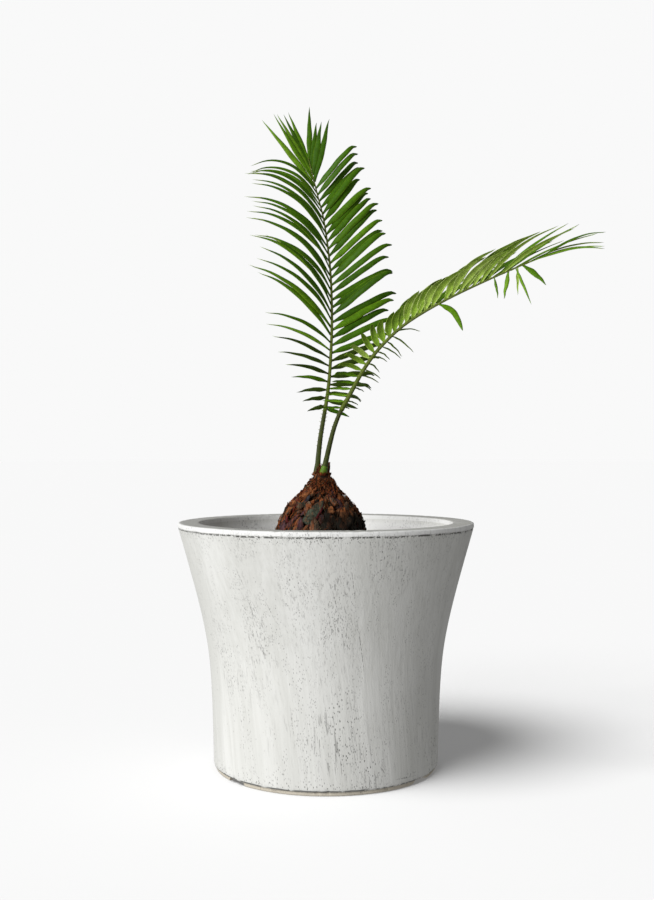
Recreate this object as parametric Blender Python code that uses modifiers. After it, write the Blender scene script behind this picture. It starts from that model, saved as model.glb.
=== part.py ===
"""A young sago palm in a flared, whitewashed cement pot.

Metres, +Z up. The origin is the centre of the pot's flat underside, on the
floor. The front of the plant looks along -Y, and +X is on its right.

The pot is turned, and the potting mix fills it to a little under the rim. On
the mix sits the trunk, a squat cone of old leaf bases with a flat cut at the
ground. Two leaf stalks leave its tip. Each carries one feather frond: a
tapering rib with a row of narrow leaflets down either side. One frond stands
upright and leans back, the other arches out to the right.
"""

import math
import random

import bmesh
import bpy
from mathutils import Vector

# Clearance kept between two pieces that touch on the real plant.
GAP = 0.0003

# The pot: a round foot, a wall that flares from about half way up, a plain lip.
POT_HEIGHT = 0.247
POT_TOP_RADIUS = 0.150
POT_LOW_RADIUS = 0.1138
POT_LOW_TAPER = 0.020
FLARE_SLOPE = 0.262
FLARE_START = 0.1235
FLARE_SOFTNESS = 0.022
LIP_HEIGHT = 0.005
LIP_ROUNDING = 0.0015
WALL = 0.0215
POT_FLOOR = 0.020
FOOT_HEIGHT = 0.0036
FOOT_RADIUS = 0.1114
EDGE_ROUNDING = 0.0026
POT_STEPS = 64
WALL_STEPS = 13
CAVITY_STEPS = 6
NOTCH_WIDTH = 0.023
NOTCH_DEPTH = 0.026
NOTCH_ANGLES = (-35.0, 92.0, 219.5)

# The potting mix fills the pot up to the ground line, which the trunk stands on.
GROUND = 0.218

# The trunk: its girth swells at the ground and draws in to a small flat crown.
TRUNK_X = -0.0058
TRUNK_Y = 0.0
TRUNK_GIRTH = 0.0465
TRUNK_CROWN = 0.0098
TRUNK_TALL = 0.0760
TRUNK_TOP = GROUND + GAP + TRUNK_TALL
TRUNK_SHOULDER = 3.4
TRUNK_DRAW_IN = 2.0
TRUNK_LEAN = 0.0015
TRUNK_SIDES = 30
TRUNK_RINGS = 12
SCALE_RELIEF = 0.0014
SCALE_ROWS = 6.0
SCALE_TURNS = 8.0

# Both stalks and ribs: thickness of the stem from the trunk to the frond's tip.
STALK_RADIUS = 0.0029
BLADE_START_RADIUS = 0.0021
RIB_TIP_RADIUS = 0.0006
STEM_SIDES_RESOLUTION = 2
STALK_POINTS = 9
RIB_POINTS = 22
PATH_SAMPLES = 240

# A leaflet, seen along its length: a shallow roof whose edges turn down.
LEAFLET_PAIRS = 35
LEAFLET_WIDTH = 0.0070
FOOT_WIDTH = 0.34
LEAFLET_THICKNESS = 0.0011
LEAFLET_FOLD = 0.0006
LEAFLET_RINGS = 5
ROOT_SINK = 0.0008

# The two rows are staggered: where a leaflet roots, as a share of one pair's step.
RIGHT_OFFSET = 0.30
LEFT_OFFSET = 0.62

# Scatter from leaflet to leaflet: angles in degrees, then sizes as shares.
OPENING_SCATTER = 1.5
LIFT_SCATTER = 6.0
FALL_SCATTER = 8.0
LENGTH_SCATTER = (0.95, 1.04)
WIDTH_SCATTER = (0.92, 1.05)

# Decimal places, in metres, to which points of a joined frond count as one.
WELD_DIGITS = 6

# Routes of the two stems, from the trunk's crown to the tip of the rib.
UPRIGHT_ROUTE = (
    (-0.0092, 0.0036, 0.2965),
    (-0.0060, 0.0100, 0.3310),
    (0.0018, 0.0180, 0.3800),
    (0.0050, 0.0290, 0.4200),
    (0.0062, 0.0430, 0.4640),
    (0.0044, 0.0610, 0.5150),
    (-0.0020, 0.0790, 0.5680),
    (-0.0095, 0.0940, 0.6020),
    (-0.0202, 0.1120, 0.6480),
)
ARCHING_ROUTE = (
    (-0.0030, -0.0055, 0.2965),
    (0.0092, -0.0140, 0.3455),
    (0.0240, -0.0240, 0.3760),
    (0.0400, -0.0340, 0.4040),
    (0.0560, -0.0430, 0.4240),
    (0.0790, -0.0530, 0.4440),
    (0.1140, -0.0650, 0.4640),
    (0.1560, -0.0770, 0.4830),
    (0.2040, -0.0900, 0.5025),
)


def remove_everything():
    """Empty the file without closing it."""
    for thing in list(bpy.data.objects):
        bpy.data.objects.remove(thing, do_unlink=True)
    for mesh in list(bpy.data.meshes):
        bpy.data.meshes.remove(mesh)


def new_collection(name):
    """A collection under the scene's own."""
    group = bpy.data.collections.new(name)
    bpy.context.scene.collection.children.link(group)
    return group


def material(name, colour, roughness):
    """A Principled material in one colour, for a piece that isn't metal."""
    mat = bpy.data.materials.new(name)
    mat.use_nodes = True
    shader = mat.node_tree.nodes["Principled BSDF"]
    shader.inputs["Base Color"].default_value = (*colour, 1.0)
    shader.inputs["Roughness"].default_value = roughness
    shader.inputs["Metallic"].default_value = 0.0
    return mat


def blend(a, b, t):
    """The value a share t of the way from a to b."""
    return a + (b - a) * t


def soft_step(value, low, high):
    """0 below low, 1 above high, smooth between them."""
    t = min(max((value - low) / (high - low), 0.0), 1.0)
    return t * t * (3.0 - 2.0 * t)


def between(stations, s):
    """Read a value from stations, pairs of (place along the frond, value)."""
    if s <= stations[0][0]:
        return stations[0][1]
    for (s0, v0), (s1, v1) in zip(stations, stations[1:]):
        if s <= s1:
            return blend(v0, v1, (s - s0) / (s1 - s0))
    return stations[-1][1]


class Path:
    """A smooth curve through a few points, read at equal steps of length."""

    def __init__(self, points):
        knots = [Vector(p) for p in points]
        first = knots[0] * 2 - knots[1]
        last = knots[-1] * 2 - knots[-2]
        knots = [first] + knots + [last]
        spans = len(knots) - 3
        samples = []
        for i in range(PATH_SAMPLES + 1):
            place = min(i / PATH_SAMPLES * spans, spans - 1e-9)
            span = int(place)
            samples.append(self.on_span(knots[span:span + 4], place - span))
        self.points = samples
        self.lengths = [0.0]
        for a, b in zip(samples, samples[1:]):
            self.lengths.append(self.lengths[-1] + (b - a).length)
        self.total = self.lengths[-1]

    @staticmethod
    def on_span(k, t):
        """Catmull-Rom between the second and third of four knots."""
        a = k[1] * 2
        b = (k[2] - k[0]) * t
        c = (k[0] * 2 - k[1] * 5 + k[2] * 4 - k[3]) * t * t
        d = (k[1] * 3 - k[0] - k[2] * 3 + k[3]) * t ** 3
        return (a + b + c + d) / 2

    def at(self, length):
        """The point a given length along the curve."""
        length = min(max(length, 0.0), self.total)
        for i, reach in enumerate(self.lengths[1:]):
            if reach >= length:
                step = reach - self.lengths[i]
                t = (length - self.lengths[i]) / step
                return self.points[i].lerp(self.points[i + 1], t)
        return self.points[-1].copy()

    def tangent(self, length):
        """The direction of the curve there, towards its far end."""
        half = self.total / PATH_SAMPLES
        return (self.at(length + half) - self.at(length - half)).normalized()


def wall_radius(z):
    """Outer radius of the pot's wall: nearly upright below, flared above."""
    swell = math.log1p(math.exp((z - FLARE_START) / FLARE_SOFTNESS))
    radius = POT_LOW_RADIUS + POT_LOW_TAPER * z + FLARE_SLOPE * FLARE_SOFTNESS * swell
    return min(radius, POT_TOP_RADIUS)


def inner_radius(z):
    """Inner radius of the wall, the same thickness all the way down."""
    return wall_radius(z) - WALL


def cavity_heights():
    """Heights at which the inner wall is drawn, from its foot up to the ground line."""
    low = POT_FLOOR + EDGE_ROUNDING
    return [blend(low, GROUND, i / CAVITY_STEPS) for i in range(CAVITY_STEPS + 1)]


def corner(centre_r, centre_z, radius, start, end, count=3):
    """Points of a rounded corner in the profile plane, angles in degrees."""
    points = []
    for i in range(count):
        angle = math.radians(blend(start, end, i / (count - 1)))
        points.append((centre_r + radius * math.cos(angle), centre_z + radius * math.sin(angle)))
    return points


def turned(name, profile, steps, group):
    """A solid of revolution from (radius, height) points that start and end on the axis."""
    mesh = bpy.data.meshes.new(name)
    edges = [(i, i + 1) for i in range(len(profile) - 1)]
    mesh.from_pydata([(r, 0.0, z) for r, z in profile], edges, [])
    thing = bpy.data.objects.new(name, mesh)
    group.objects.link(thing)
    screw = thing.modifiers.new("Turn", "SCREW")
    screw.axis = "Z"
    screw.angle = math.tau
    screw.steps = steps
    screw.render_steps = steps
    screw.use_merge_vertices = True
    screw.merge_threshold = 0.00001
    return thing


def pot_profile():
    """The pot's section, from the middle of its inner floor, over the lip, to its underside."""
    top_inner = POT_TOP_RADIUS - WALL
    low = POT_FLOOR + EDGE_ROUNDING
    points = [(0.0, POT_FLOOR)]
    points += corner(inner_radius(low) - EDGE_ROUNDING, low, EDGE_ROUNDING, -90, 0)
    points += [(inner_radius(z), z) for z in cavity_heights()[1:]]
    rounded = POT_HEIGHT - LIP_ROUNDING
    points += corner(top_inner + LIP_ROUNDING, rounded, LIP_ROUNDING, 180, 90)
    points += corner(POT_TOP_RADIUS - LIP_ROUNDING, rounded, LIP_ROUNDING, 90, 0)
    for i in range(WALL_STEPS):
        z = blend(POT_HEIGHT - LIP_HEIGHT, FOOT_HEIGHT + EDGE_ROUNDING, i / WALL_STEPS)
        points.append((wall_radius(z), z))
    wall_foot = FOOT_HEIGHT + EDGE_ROUNDING
    reach = wall_radius(wall_foot) - FOOT_RADIUS
    points += corner(FOOT_RADIUS, wall_foot, reach, 0, -90)
    points.append((FOOT_RADIUS, 0.0))
    points.append((0.0, 0.0))
    return points


def notch_cutters(group):
    """Three blocks that cut the drainage notches in the rim of the foot."""
    cutters = []
    for angle in NOTCH_ANGLES:
        bpy.ops.mesh.primitive_cube_add(size=1.0)
        block = bpy.context.object
        block.name = "notch_cutter"
        turn = math.radians(angle)
        middle = FOOT_RADIUS
        block.location = (middle * math.cos(turn), middle * math.sin(turn), 0.0)
        block.rotation_euler = (0.0, 0.0, turn)
        block.scale = (NOTCH_DEPTH * 2, NOTCH_WIDTH, FOOT_HEIGHT * 2)
        block.hide_render = True
        block.display_type = "WIRE"
        for owner in list(block.users_collection):
            owner.objects.unlink(block)
        group.objects.link(block)
        cutters.append(block)
    return cutters


def shade_round(thing):
    """Smooth shading that keeps the crisp edges."""
    thing.data.shade_smooth()
    thing.data.set_sharp_from_angle(angle=math.radians(35))


def make_pot(group, cutter_group):
    """The turned pot with the notches cut in its foot."""
    pot = turned("pot", pot_profile(), POT_STEPS, group)
    for number, cutter in enumerate(notch_cutters(cutter_group)):
        cut = pot.modifiers.new(f"Notch {number}", "BOOLEAN")
        cut.operation = "DIFFERENCE"
        cut.object = cutter
    pot.data.materials.append(material("whitewashed_cement", (0.74, 0.73, 0.70), 0.82))
    shade_round(pot)
    return pot


def make_soil(group):
    """The potting mix: it fills the pot, one clearance inside its wall, to the ground line."""
    heights = cavity_heights()
    bottom = POT_FLOOR + GAP
    profile = [(0.0, GROUND)]
    profile += [(inner_radius(z) - GAP, z) for z in reversed(heights)]
    profile.append((inner_radius(heights[0]) - GAP - EDGE_ROUNDING, bottom))
    profile.append((0.0, bottom))
    soil = turned("soil", profile, POT_STEPS, group)
    soil.data.materials.append(material("potting_mix", (0.055, 0.038, 0.026), 0.95))
    shade_round(soil)
    return soil


def trunk_profile():
    """The trunk's section from its flat crown down to its flat cut, about its own axis."""
    points = [(0.0, TRUNK_TALL)]
    for i in range(TRUNK_RINGS + 1):
        t = 1 - i / TRUNK_RINGS
        swell = (1 - t ** TRUNK_SHOULDER) ** TRUNK_DRAW_IN
        points.append((blend(TRUNK_CROWN, TRUNK_GIRTH, swell), TRUNK_TALL * t))
    points.append((0.0, 0.0))
    return points


def scale_relief(angle, height):
    """How far the old leaf bases stand out: two spirals that cross, fading at both ends."""
    turn = SCALE_TURNS * angle
    climb = math.tau * SCALE_ROWS * height
    bumps = math.cos(turn + climb) * math.cos(turn * 0.5 - climb)
    fade = min(1.0, height * 6.0, (1.0 - height) * 4.0)
    return SCALE_RELIEF * bumps * max(fade, 0.0)


def make_trunk(group):
    """The trunk: a turned cone, given the relief of its leaf bases and a slight lean."""
    raw = turned("trunk_raw", trunk_profile(), TRUNK_SIDES, group)
    bpy.context.view_layer.update()
    graph = bpy.context.evaluated_depsgraph_get()
    mesh = bpy.data.meshes.new_from_object(raw.evaluated_get(graph))
    bpy.data.objects.remove(raw, do_unlink=True)
    mesh.name = "trunk"
    for vertex in mesh.vertices:
        radius = math.hypot(vertex.co.x, vertex.co.y)
        height = vertex.co.z / TRUNK_TALL
        if radius > 0.0:
            angle = math.atan2(vertex.co.y, vertex.co.x)
            grown = (radius + scale_relief(angle, height)) / radius
            vertex.co.x *= grown
            vertex.co.y *= grown
        vertex.co.x += TRUNK_LEAN * height
    trunk = bpy.data.objects.new("trunk", mesh)
    trunk.location = (TRUNK_X, TRUNK_Y, GROUND + GAP)
    group.objects.link(trunk)
    trunk.data.materials.append(material("old_leaf_bases", (0.16, 0.065, 0.03), 0.9))
    return trunk


def tube(name, points, radii, group):
    """A tapering stem with closed ends."""
    curve = bpy.data.curves.new(name, "CURVE")
    curve.dimensions = "3D"
    curve.bevel_depth = max(radii)
    curve.bevel_resolution = STEM_SIDES_RESOLUTION
    curve.use_fill_caps = True
    spline = curve.splines.new("POLY")
    spline.points.add(len(points) - 1)
    for knot, point, radius in zip(spline.points, points, radii):
        knot.co = (*point, 1.0)
        knot.radius = radius / max(radii)
    thing = bpy.data.objects.new(name, curve)
    group.objects.link(thing)
    return thing


def make_stalk(name, path, blade_start, group):
    """The bare stalk: it stands flat on the trunk's crown and ends under the first leaflets."""
    start = path.at(0.0)
    points = [Vector((start.x, start.y, TRUNK_TOP + GAP))]
    radii = [STALK_RADIUS]
    for i in range(STALK_POINTS):
        t = i / (STALK_POINTS - 1)
        points.append(path.at(t * (blade_start - GAP)))
        radii.append(blend(STALK_RADIUS, BLADE_START_RADIUS, t))
    stalk = tube(name, points, radii, group)
    stalk.data.materials.append(material("stalk_green", (0.13, 0.20, 0.04), 0.5))
    return stalk


def rib_radius(share):
    """Thickness of the rib, a share of the way along the leafy part."""
    return blend(BLADE_START_RADIUS, RIB_TIP_RADIUS, share ** 0.7)


def frond_frame(path, length, facing, roll):
    """Rib direction, upper face and right-hand side of the frond at one place."""
    along = path.tangent(length)
    face = (facing - along * facing.dot(along)).normalized()
    side = along.cross(face)
    turn = math.radians(roll)
    upper = face * math.cos(turn) + side * math.sin(turn)
    return along, upper, along.cross(upper)


def leaflet_direction(frame, hand, opening, lift, sag):
    """Direction of a leaflet that opens from the rib and lifts off its side, both in degrees."""
    along, upper, side = frame
    out = side * hand * math.cos(math.radians(lift)) + upper * math.sin(math.radians(lift))
    course = along * math.cos(math.radians(opening)) + out * math.sin(math.radians(opening))
    return (course + Vector((0.0, 0.0, -sag))).normalized()


def leaflet_width(u, shape):
    """Width along the blade as a share of its widest: a narrow foot, then a blunt or a long tip."""
    foot = blend(FOOT_WIDTH, 1.0, soft_step(u, 0.0, shape["foot"]))
    return foot * (1.0 - u ** shape["tip"]) ** 0.9


def leaflet_angles(shape, u):
    """How far a leaflet opens from the rib and lifts off its side there, in degrees."""
    opening = shape["opening"] + shape["spread"] * u ** 1.2
    lift = shape["lift"] - shape["fall"] * u ** shape["late"]
    return opening, lift


def leaflet_course(root, frame, hand, shape, rings):
    """Points and directions down the middle of one leaflet."""
    step = shape["length"] / rings
    here = root.copy()
    course = []
    for i in range(rings + 1):
        u = i / rings
        heading = leaflet_direction(frame, hand, *leaflet_angles(shape, u), shape["sag"] * u ** 1.5)
        course.append((here.copy(), heading))
        here += heading * step
    return course


def across_leaflet(frame, hand, shape, u, heading):
    """Direction across the blade, square to its heading and always towards the same edge."""
    opening, lift = leaflet_angles(shape, u)
    outward = leaflet_direction(frame, hand, 90.0, lift, 0.0)
    flat = frame[0] * math.sin(math.radians(opening)) - outward * math.cos(math.radians(opening))
    return (flat - heading * flat.dot(heading)).normalized()


def leaflet_mesh(name, root, frame, hand, shape):
    """One closed leaflet: four-sided rings down its course, closed at the foot and the tip."""
    form = bmesh.new()
    rings = []
    twist = math.radians(shape["twist"])
    course = leaflet_course(root, frame, hand, shape, LEAFLET_RINGS)
    for i, (centre, heading) in enumerate(course[:-1]):
        flat = across_leaflet(frame, hand, shape, i / LEAFLET_RINGS, heading)
        across = flat * math.cos(twist) + heading.cross(flat) * hand * math.sin(twist)
        normal = heading.cross(across) * hand
        half = LEAFLET_WIDTH * shape["width"] * leaflet_width(i / LEAFLET_RINGS, shape) / 2
        thick = LEAFLET_THICKNESS / 2
        edge = normal * LEAFLET_FOLD
        corners = (centre + across * half - edge, centre + normal * thick,
                   centre - across * half - edge, centre - normal * thick)
        rings.append([form.verts.new(point) for point in corners])
    tip = form.verts.new(course[-1][0])
    form.faces.new(rings[0])
    for low, high in zip(rings, rings[1:]):
        for j in range(4):
            k = (j + 1) % 4
            form.faces.new((low[j], low[k], high[k], high[j]))
    for j in range(4):
        form.faces.new((rings[-1][j], rings[-1][(j + 1) % 4], tip))
    bmesh.ops.recalc_face_normals(form, faces=form.faces)
    mesh = bpy.data.meshes.new(name)
    form.to_mesh(mesh)
    form.free()
    return mesh


def bunch_lean(gaps, number):
    """How many places a leaflet stands above the middle of its bunch, between two gaps."""
    for low, high in zip(gaps, gaps[1:]):
        if low < number < high:
            return number - (low + high) / 2
    return 0.0


def leaflet_shape(side, s, number, chance):
    """The sizes of one leaflet, read from its side's stations, with scatter and bunching."""
    shape = {key: between(side[key], s) for key in side if key not in ("gaps", "hanging")}
    loose = shape["loose"]
    lean = bunch_lean(side["gaps"], number)
    shape["opening"] += shape["bunch"] * lean + chance.uniform(-OPENING_SCATTER, OPENING_SCATTER) * loose
    shape["lift"] += chance.uniform(-LIFT_SCATTER, LIFT_SCATTER) * loose
    shape["fall"] += chance.uniform(-FALL_SCATTER, FALL_SCATTER) * loose
    shape["length"] *= chance.uniform(*LENGTH_SCATTER)
    shape["width"] *= chance.uniform(*WIDTH_SCATTER)
    if number in side["hanging"]:
        shape.update(side["hanging"][number])
    return shape


def frond_leaflets(frond, path, blade_start):
    """Every leaflet of a frond as (root, frame, hand, shape), in order from the lowest."""
    chance = random.Random(frond["seed"])
    leafy = path.total - blade_start
    for number in range(LEAFLET_PAIRS):
        for hand, side in ((1, frond["right"]), (-1, frond["left"])):
            offset = RIGHT_OFFSET if hand > 0 else LEFT_OFFSET
            s = (number + offset) / LEAFLET_PAIRS
            reach = blade_start + leafy * s
            frame = frond_frame(path, reach, frond["facing"], between(frond["roll"], s))
            shape = leaflet_shape(side, s, number, chance)
            outward = leaflet_direction(frame, hand, 90.0, shape["lift"], 0.0)
            root = path.at(reach) + outward * (rib_radius(s) - ROOT_SINK)
            yield root, frame, hand, shape


def welded_triangles(mesh):
    """The mesh as points and triangles, with points in one place joined and slivers dropped."""
    mesh.calc_loop_triangles()
    number_of = {}
    numbers = []
    for vertex in mesh.vertices:
        place = tuple(round(value, WELD_DIGITS) for value in vertex.co)
        numbers.append(number_of.setdefault(place, len(number_of)))
    triangles = []
    for triangle in mesh.loop_triangles:
        corners = tuple(numbers[i] for i in triangle.vertices)
        if len(set(corners)) == 3:
            triangles.append(corners)
    return list(number_of), triangles


def largest_shell(mesh):
    """Keep the biggest closed shell only: it drops loose scraps and fills sealed hollows."""
    points, triangles = welded_triangles(mesh)
    at_edge = {}
    for number, corners in enumerate(triangles):
        for a, b in zip(corners, corners[1:] + corners[:1]):
            at_edge.setdefault(frozenset((a, b)), []).append(number)
    beside = [[] for _ in triangles]
    for pair in at_edge.values():
        if len(pair) == 2:
            beside[pair[0]].append(pair[1])
            beside[pair[1]].append(pair[0])
    unseen = set(range(len(triangles)))
    largest = []
    while unseen:
        shell = [unseen.pop()]
        for number in shell:
            for other in beside[number]:
                if other in unseen:
                    unseen.discard(other)
                    shell.append(other)
        largest = max(largest, shell, key=len)
    used = sorted({corner for number in largest for corner in triangles[number]})
    place_of = {corner: place for place, corner in enumerate(used)}
    faces = [[place_of[corner] for corner in triangles[number]] for number in sorted(largest)]
    mesh.clear_geometry()
    mesh.from_pydata([points[corner] for corner in used], [], faces)


def make_frond(name, frond, path, blade_start, group):
    """The rib and all its leaflets, joined to one closed solid."""
    leafy = path.total - blade_start
    points = []
    radii = []
    for i in range(RIB_POINTS):
        share = i / (RIB_POINTS - 1)
        points.append(path.at(blade_start + leafy * share))
        radii.append(rib_radius(share))
    rib_curve = tube(name + "_rib", points, radii, group)
    bpy.context.view_layer.update()
    graph = bpy.context.evaluated_depsgraph_get()
    rib_mesh = bpy.data.meshes.new_from_object(rib_curve.evaluated_get(graph))
    bpy.data.objects.remove(rib_curve, do_unlink=True)
    form = bmesh.new()
    form.from_mesh(rib_mesh)
    bmesh.ops.remove_doubles(form, verts=form.verts, dist=0.00001)
    bmesh.ops.recalc_face_normals(form, faces=form.faces)
    form.to_mesh(rib_mesh)
    form.free()
    blade = bpy.data.objects.new(name, rib_mesh)
    group.objects.link(blade)

    spray = new_collection(name + "_leaflets")
    for root, frame, hand, shape in frond_leaflets(frond, path, blade_start):
        mesh = leaflet_mesh("leaflet", root, frame, hand, shape)
        spray.objects.link(bpy.data.objects.new("leaflet", mesh))
    join = blade.modifiers.new("Join leaflets", "BOOLEAN")
    join.operation = "UNION"
    join.operand_type = "COLLECTION"
    join.collection = spray
    join.solver = "MANIFOLD"
    bpy.context.view_layer.update()
    graph = bpy.context.evaluated_depsgraph_get()
    joined = bpy.data.meshes.new_from_object(blade.evaluated_get(graph))
    blade.modifiers.clear()
    blade.data = joined
    for leaflet in list(spray.objects):
        bpy.data.objects.remove(leaflet, do_unlink=True)
    bpy.data.collections.remove(spray)
    largest_shell(joined)
    joined.materials.clear()
    joined.materials.append(material("leaf_green", (0.07, 0.16, 0.012), 0.42))
    return blade


# The upright frond shows its glossy upper face to the front. Its leaflets open
# from the rib by a steep angle at the foot, which closes to a tuft at the tip.
UPRIGHT = {
    "seed": 11,
    "facing": Vector((0.0, -1.0, 0.0)),
    "roll": ((0.0, 4.0), (0.3, 16.0), (0.75, 20.0), (1.0, 8.0)),
    "left": {
        "opening": ((0.0, 118.0), (0.05, 103.0), (0.08, 94.0), (0.14, 81.0), (0.20, 68.0),
                    (0.26, 71.0), (0.27, 52.0), (0.5, 47.0), (0.86, 42.0), (0.87, 27.0),
                    (1.0, 6.0)),
        "lift": ((0.0, 5.0), (0.15, 20.0), (0.3, 34.0), (0.86, 38.0), (0.87, 20.0), (1.0, 10.0)),
        "fall": ((0.0, 5.0), (0.15, 30.0), (0.3, 58.0), (0.86, 66.0), (0.87, 20.0), (1.0, 10.0)),
        "spread": ((0.0, 10.0), (0.15, 12.0), (0.3, 20.0), (0.5, 28.0), (0.7, 40.0),
                   (0.86, 74.0), (0.87, -3.0), (1.0, 0.0)),
        "length": ((0.0, 0.015), (0.08, 0.034), (0.14, 0.050), (0.20, 0.068), (0.23, 0.084),
                   (0.26, 0.088), (0.27, 0.108), (0.5, 0.112), (0.75, 0.102), (0.86, 0.086),
                   (0.87, 0.100), (0.97, 0.070), (1.0, 0.066)),
        "sag": ((0.0, 0.20), (0.3, 0.10), (0.86, 0.08), (0.87, 0.0), (1.0, 0.0)),
        "late": ((0.0, 1.0),),
        "twist": ((0.0, 0.0),),
        "loose": ((0.0, 1.0), (0.3, 1.6), (0.86, 1.6), (0.87, 1.0)),
        "gaps": (-0.5, 2.5, 4.5, 6.5, 8.5, 11.5, 15.5, 18.5, 21.5, 25.5, 29.5),
        "bunch": ((0.0, 2.0), (0.3, 3.0), (0.4, 1.2), (0.6, 1.0), (0.7, 0.0)),
        "width": ((0.0, 0.75), (0.15, 0.8), (0.26, 0.8), (0.27, 1.1), (0.6, 1.1), (0.86, 0.95), (0.87, 1.45),
                  (1.0, 1.2)),
        "foot": ((0.0, 0.20), (0.25, 0.40), (0.5, 0.38), (0.86, 0.26), (0.87, 0.46)),
        "tip": ((0.0, 3.0), (0.2, 2.2), (1.0, 1.8)),
        "hanging": {},
    },
    "right": {
        "opening": ((0.0, 94.0), (0.08, 84.0), (0.16, 66.0), (0.24, 58.0), (0.45, 56.0),
                    (0.56, 48.0), (0.78, 48.0), (0.88, 58.0), (0.89, 26.0), (1.0, 10.0)),
        "lift": ((0.0, 0.0), (0.2, 12.0), (0.4, 26.0), (0.88, 28.0), (0.89, 16.0), (1.0, 8.0)),
        "fall": ((0.0, 10.0), (0.2, 30.0), (0.4, 70.0), (0.88, 76.0), (0.89, 15.0), (1.0, 10.0)),
        "spread": ((0.0, 14.0), (0.2, 2.0), (0.88, 0.0)),
        "length": ((0.0, 0.024), (0.08, 0.042), (0.16, 0.060), (0.3, 0.083), (0.42, 0.083),
                   (0.55, 0.080), (0.78, 0.078), (0.88, 0.067), (0.89, 0.084), (0.96, 0.060),
                   (1.0, 0.086)),
        "sag": ((0.0, 0.12), (0.3, 0.03), (1.0, 0.0)),
        "late": ((0.0, 3.5),),
        "twist": ((0.0, 0.0),),
        "loose": ((0.0, 1.0), (0.3, 1.6), (0.88, 1.6), (0.89, 1.0)),
        "gaps": (-0.5, 2.5, 4.5, 7.5, 8.5, 11.5, 14.5, 16.5, 19.5, 21.5, 24.5, 27.5, 30.5),
        "bunch": ((0.0, 1.0), (0.3, 1.8), (0.45, 2.2), (0.88, 2.2), (0.89, 0.0)),
        "width": ((0.0, 0.75), (0.15, 0.95), (0.25, 1.15), (0.5, 1.15), (0.88, 1.05), (0.89, 1.5),
                  (1.0, 1.2)),
        "foot": ((0.0, 0.20), (0.88, 0.22), (0.89, 0.5)),
        "tip": ((0.0, 3.5), (0.15, 9.0), (0.88, 12.0), (0.89, 1.8)),
        "hanging": {},
    },
}

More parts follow.
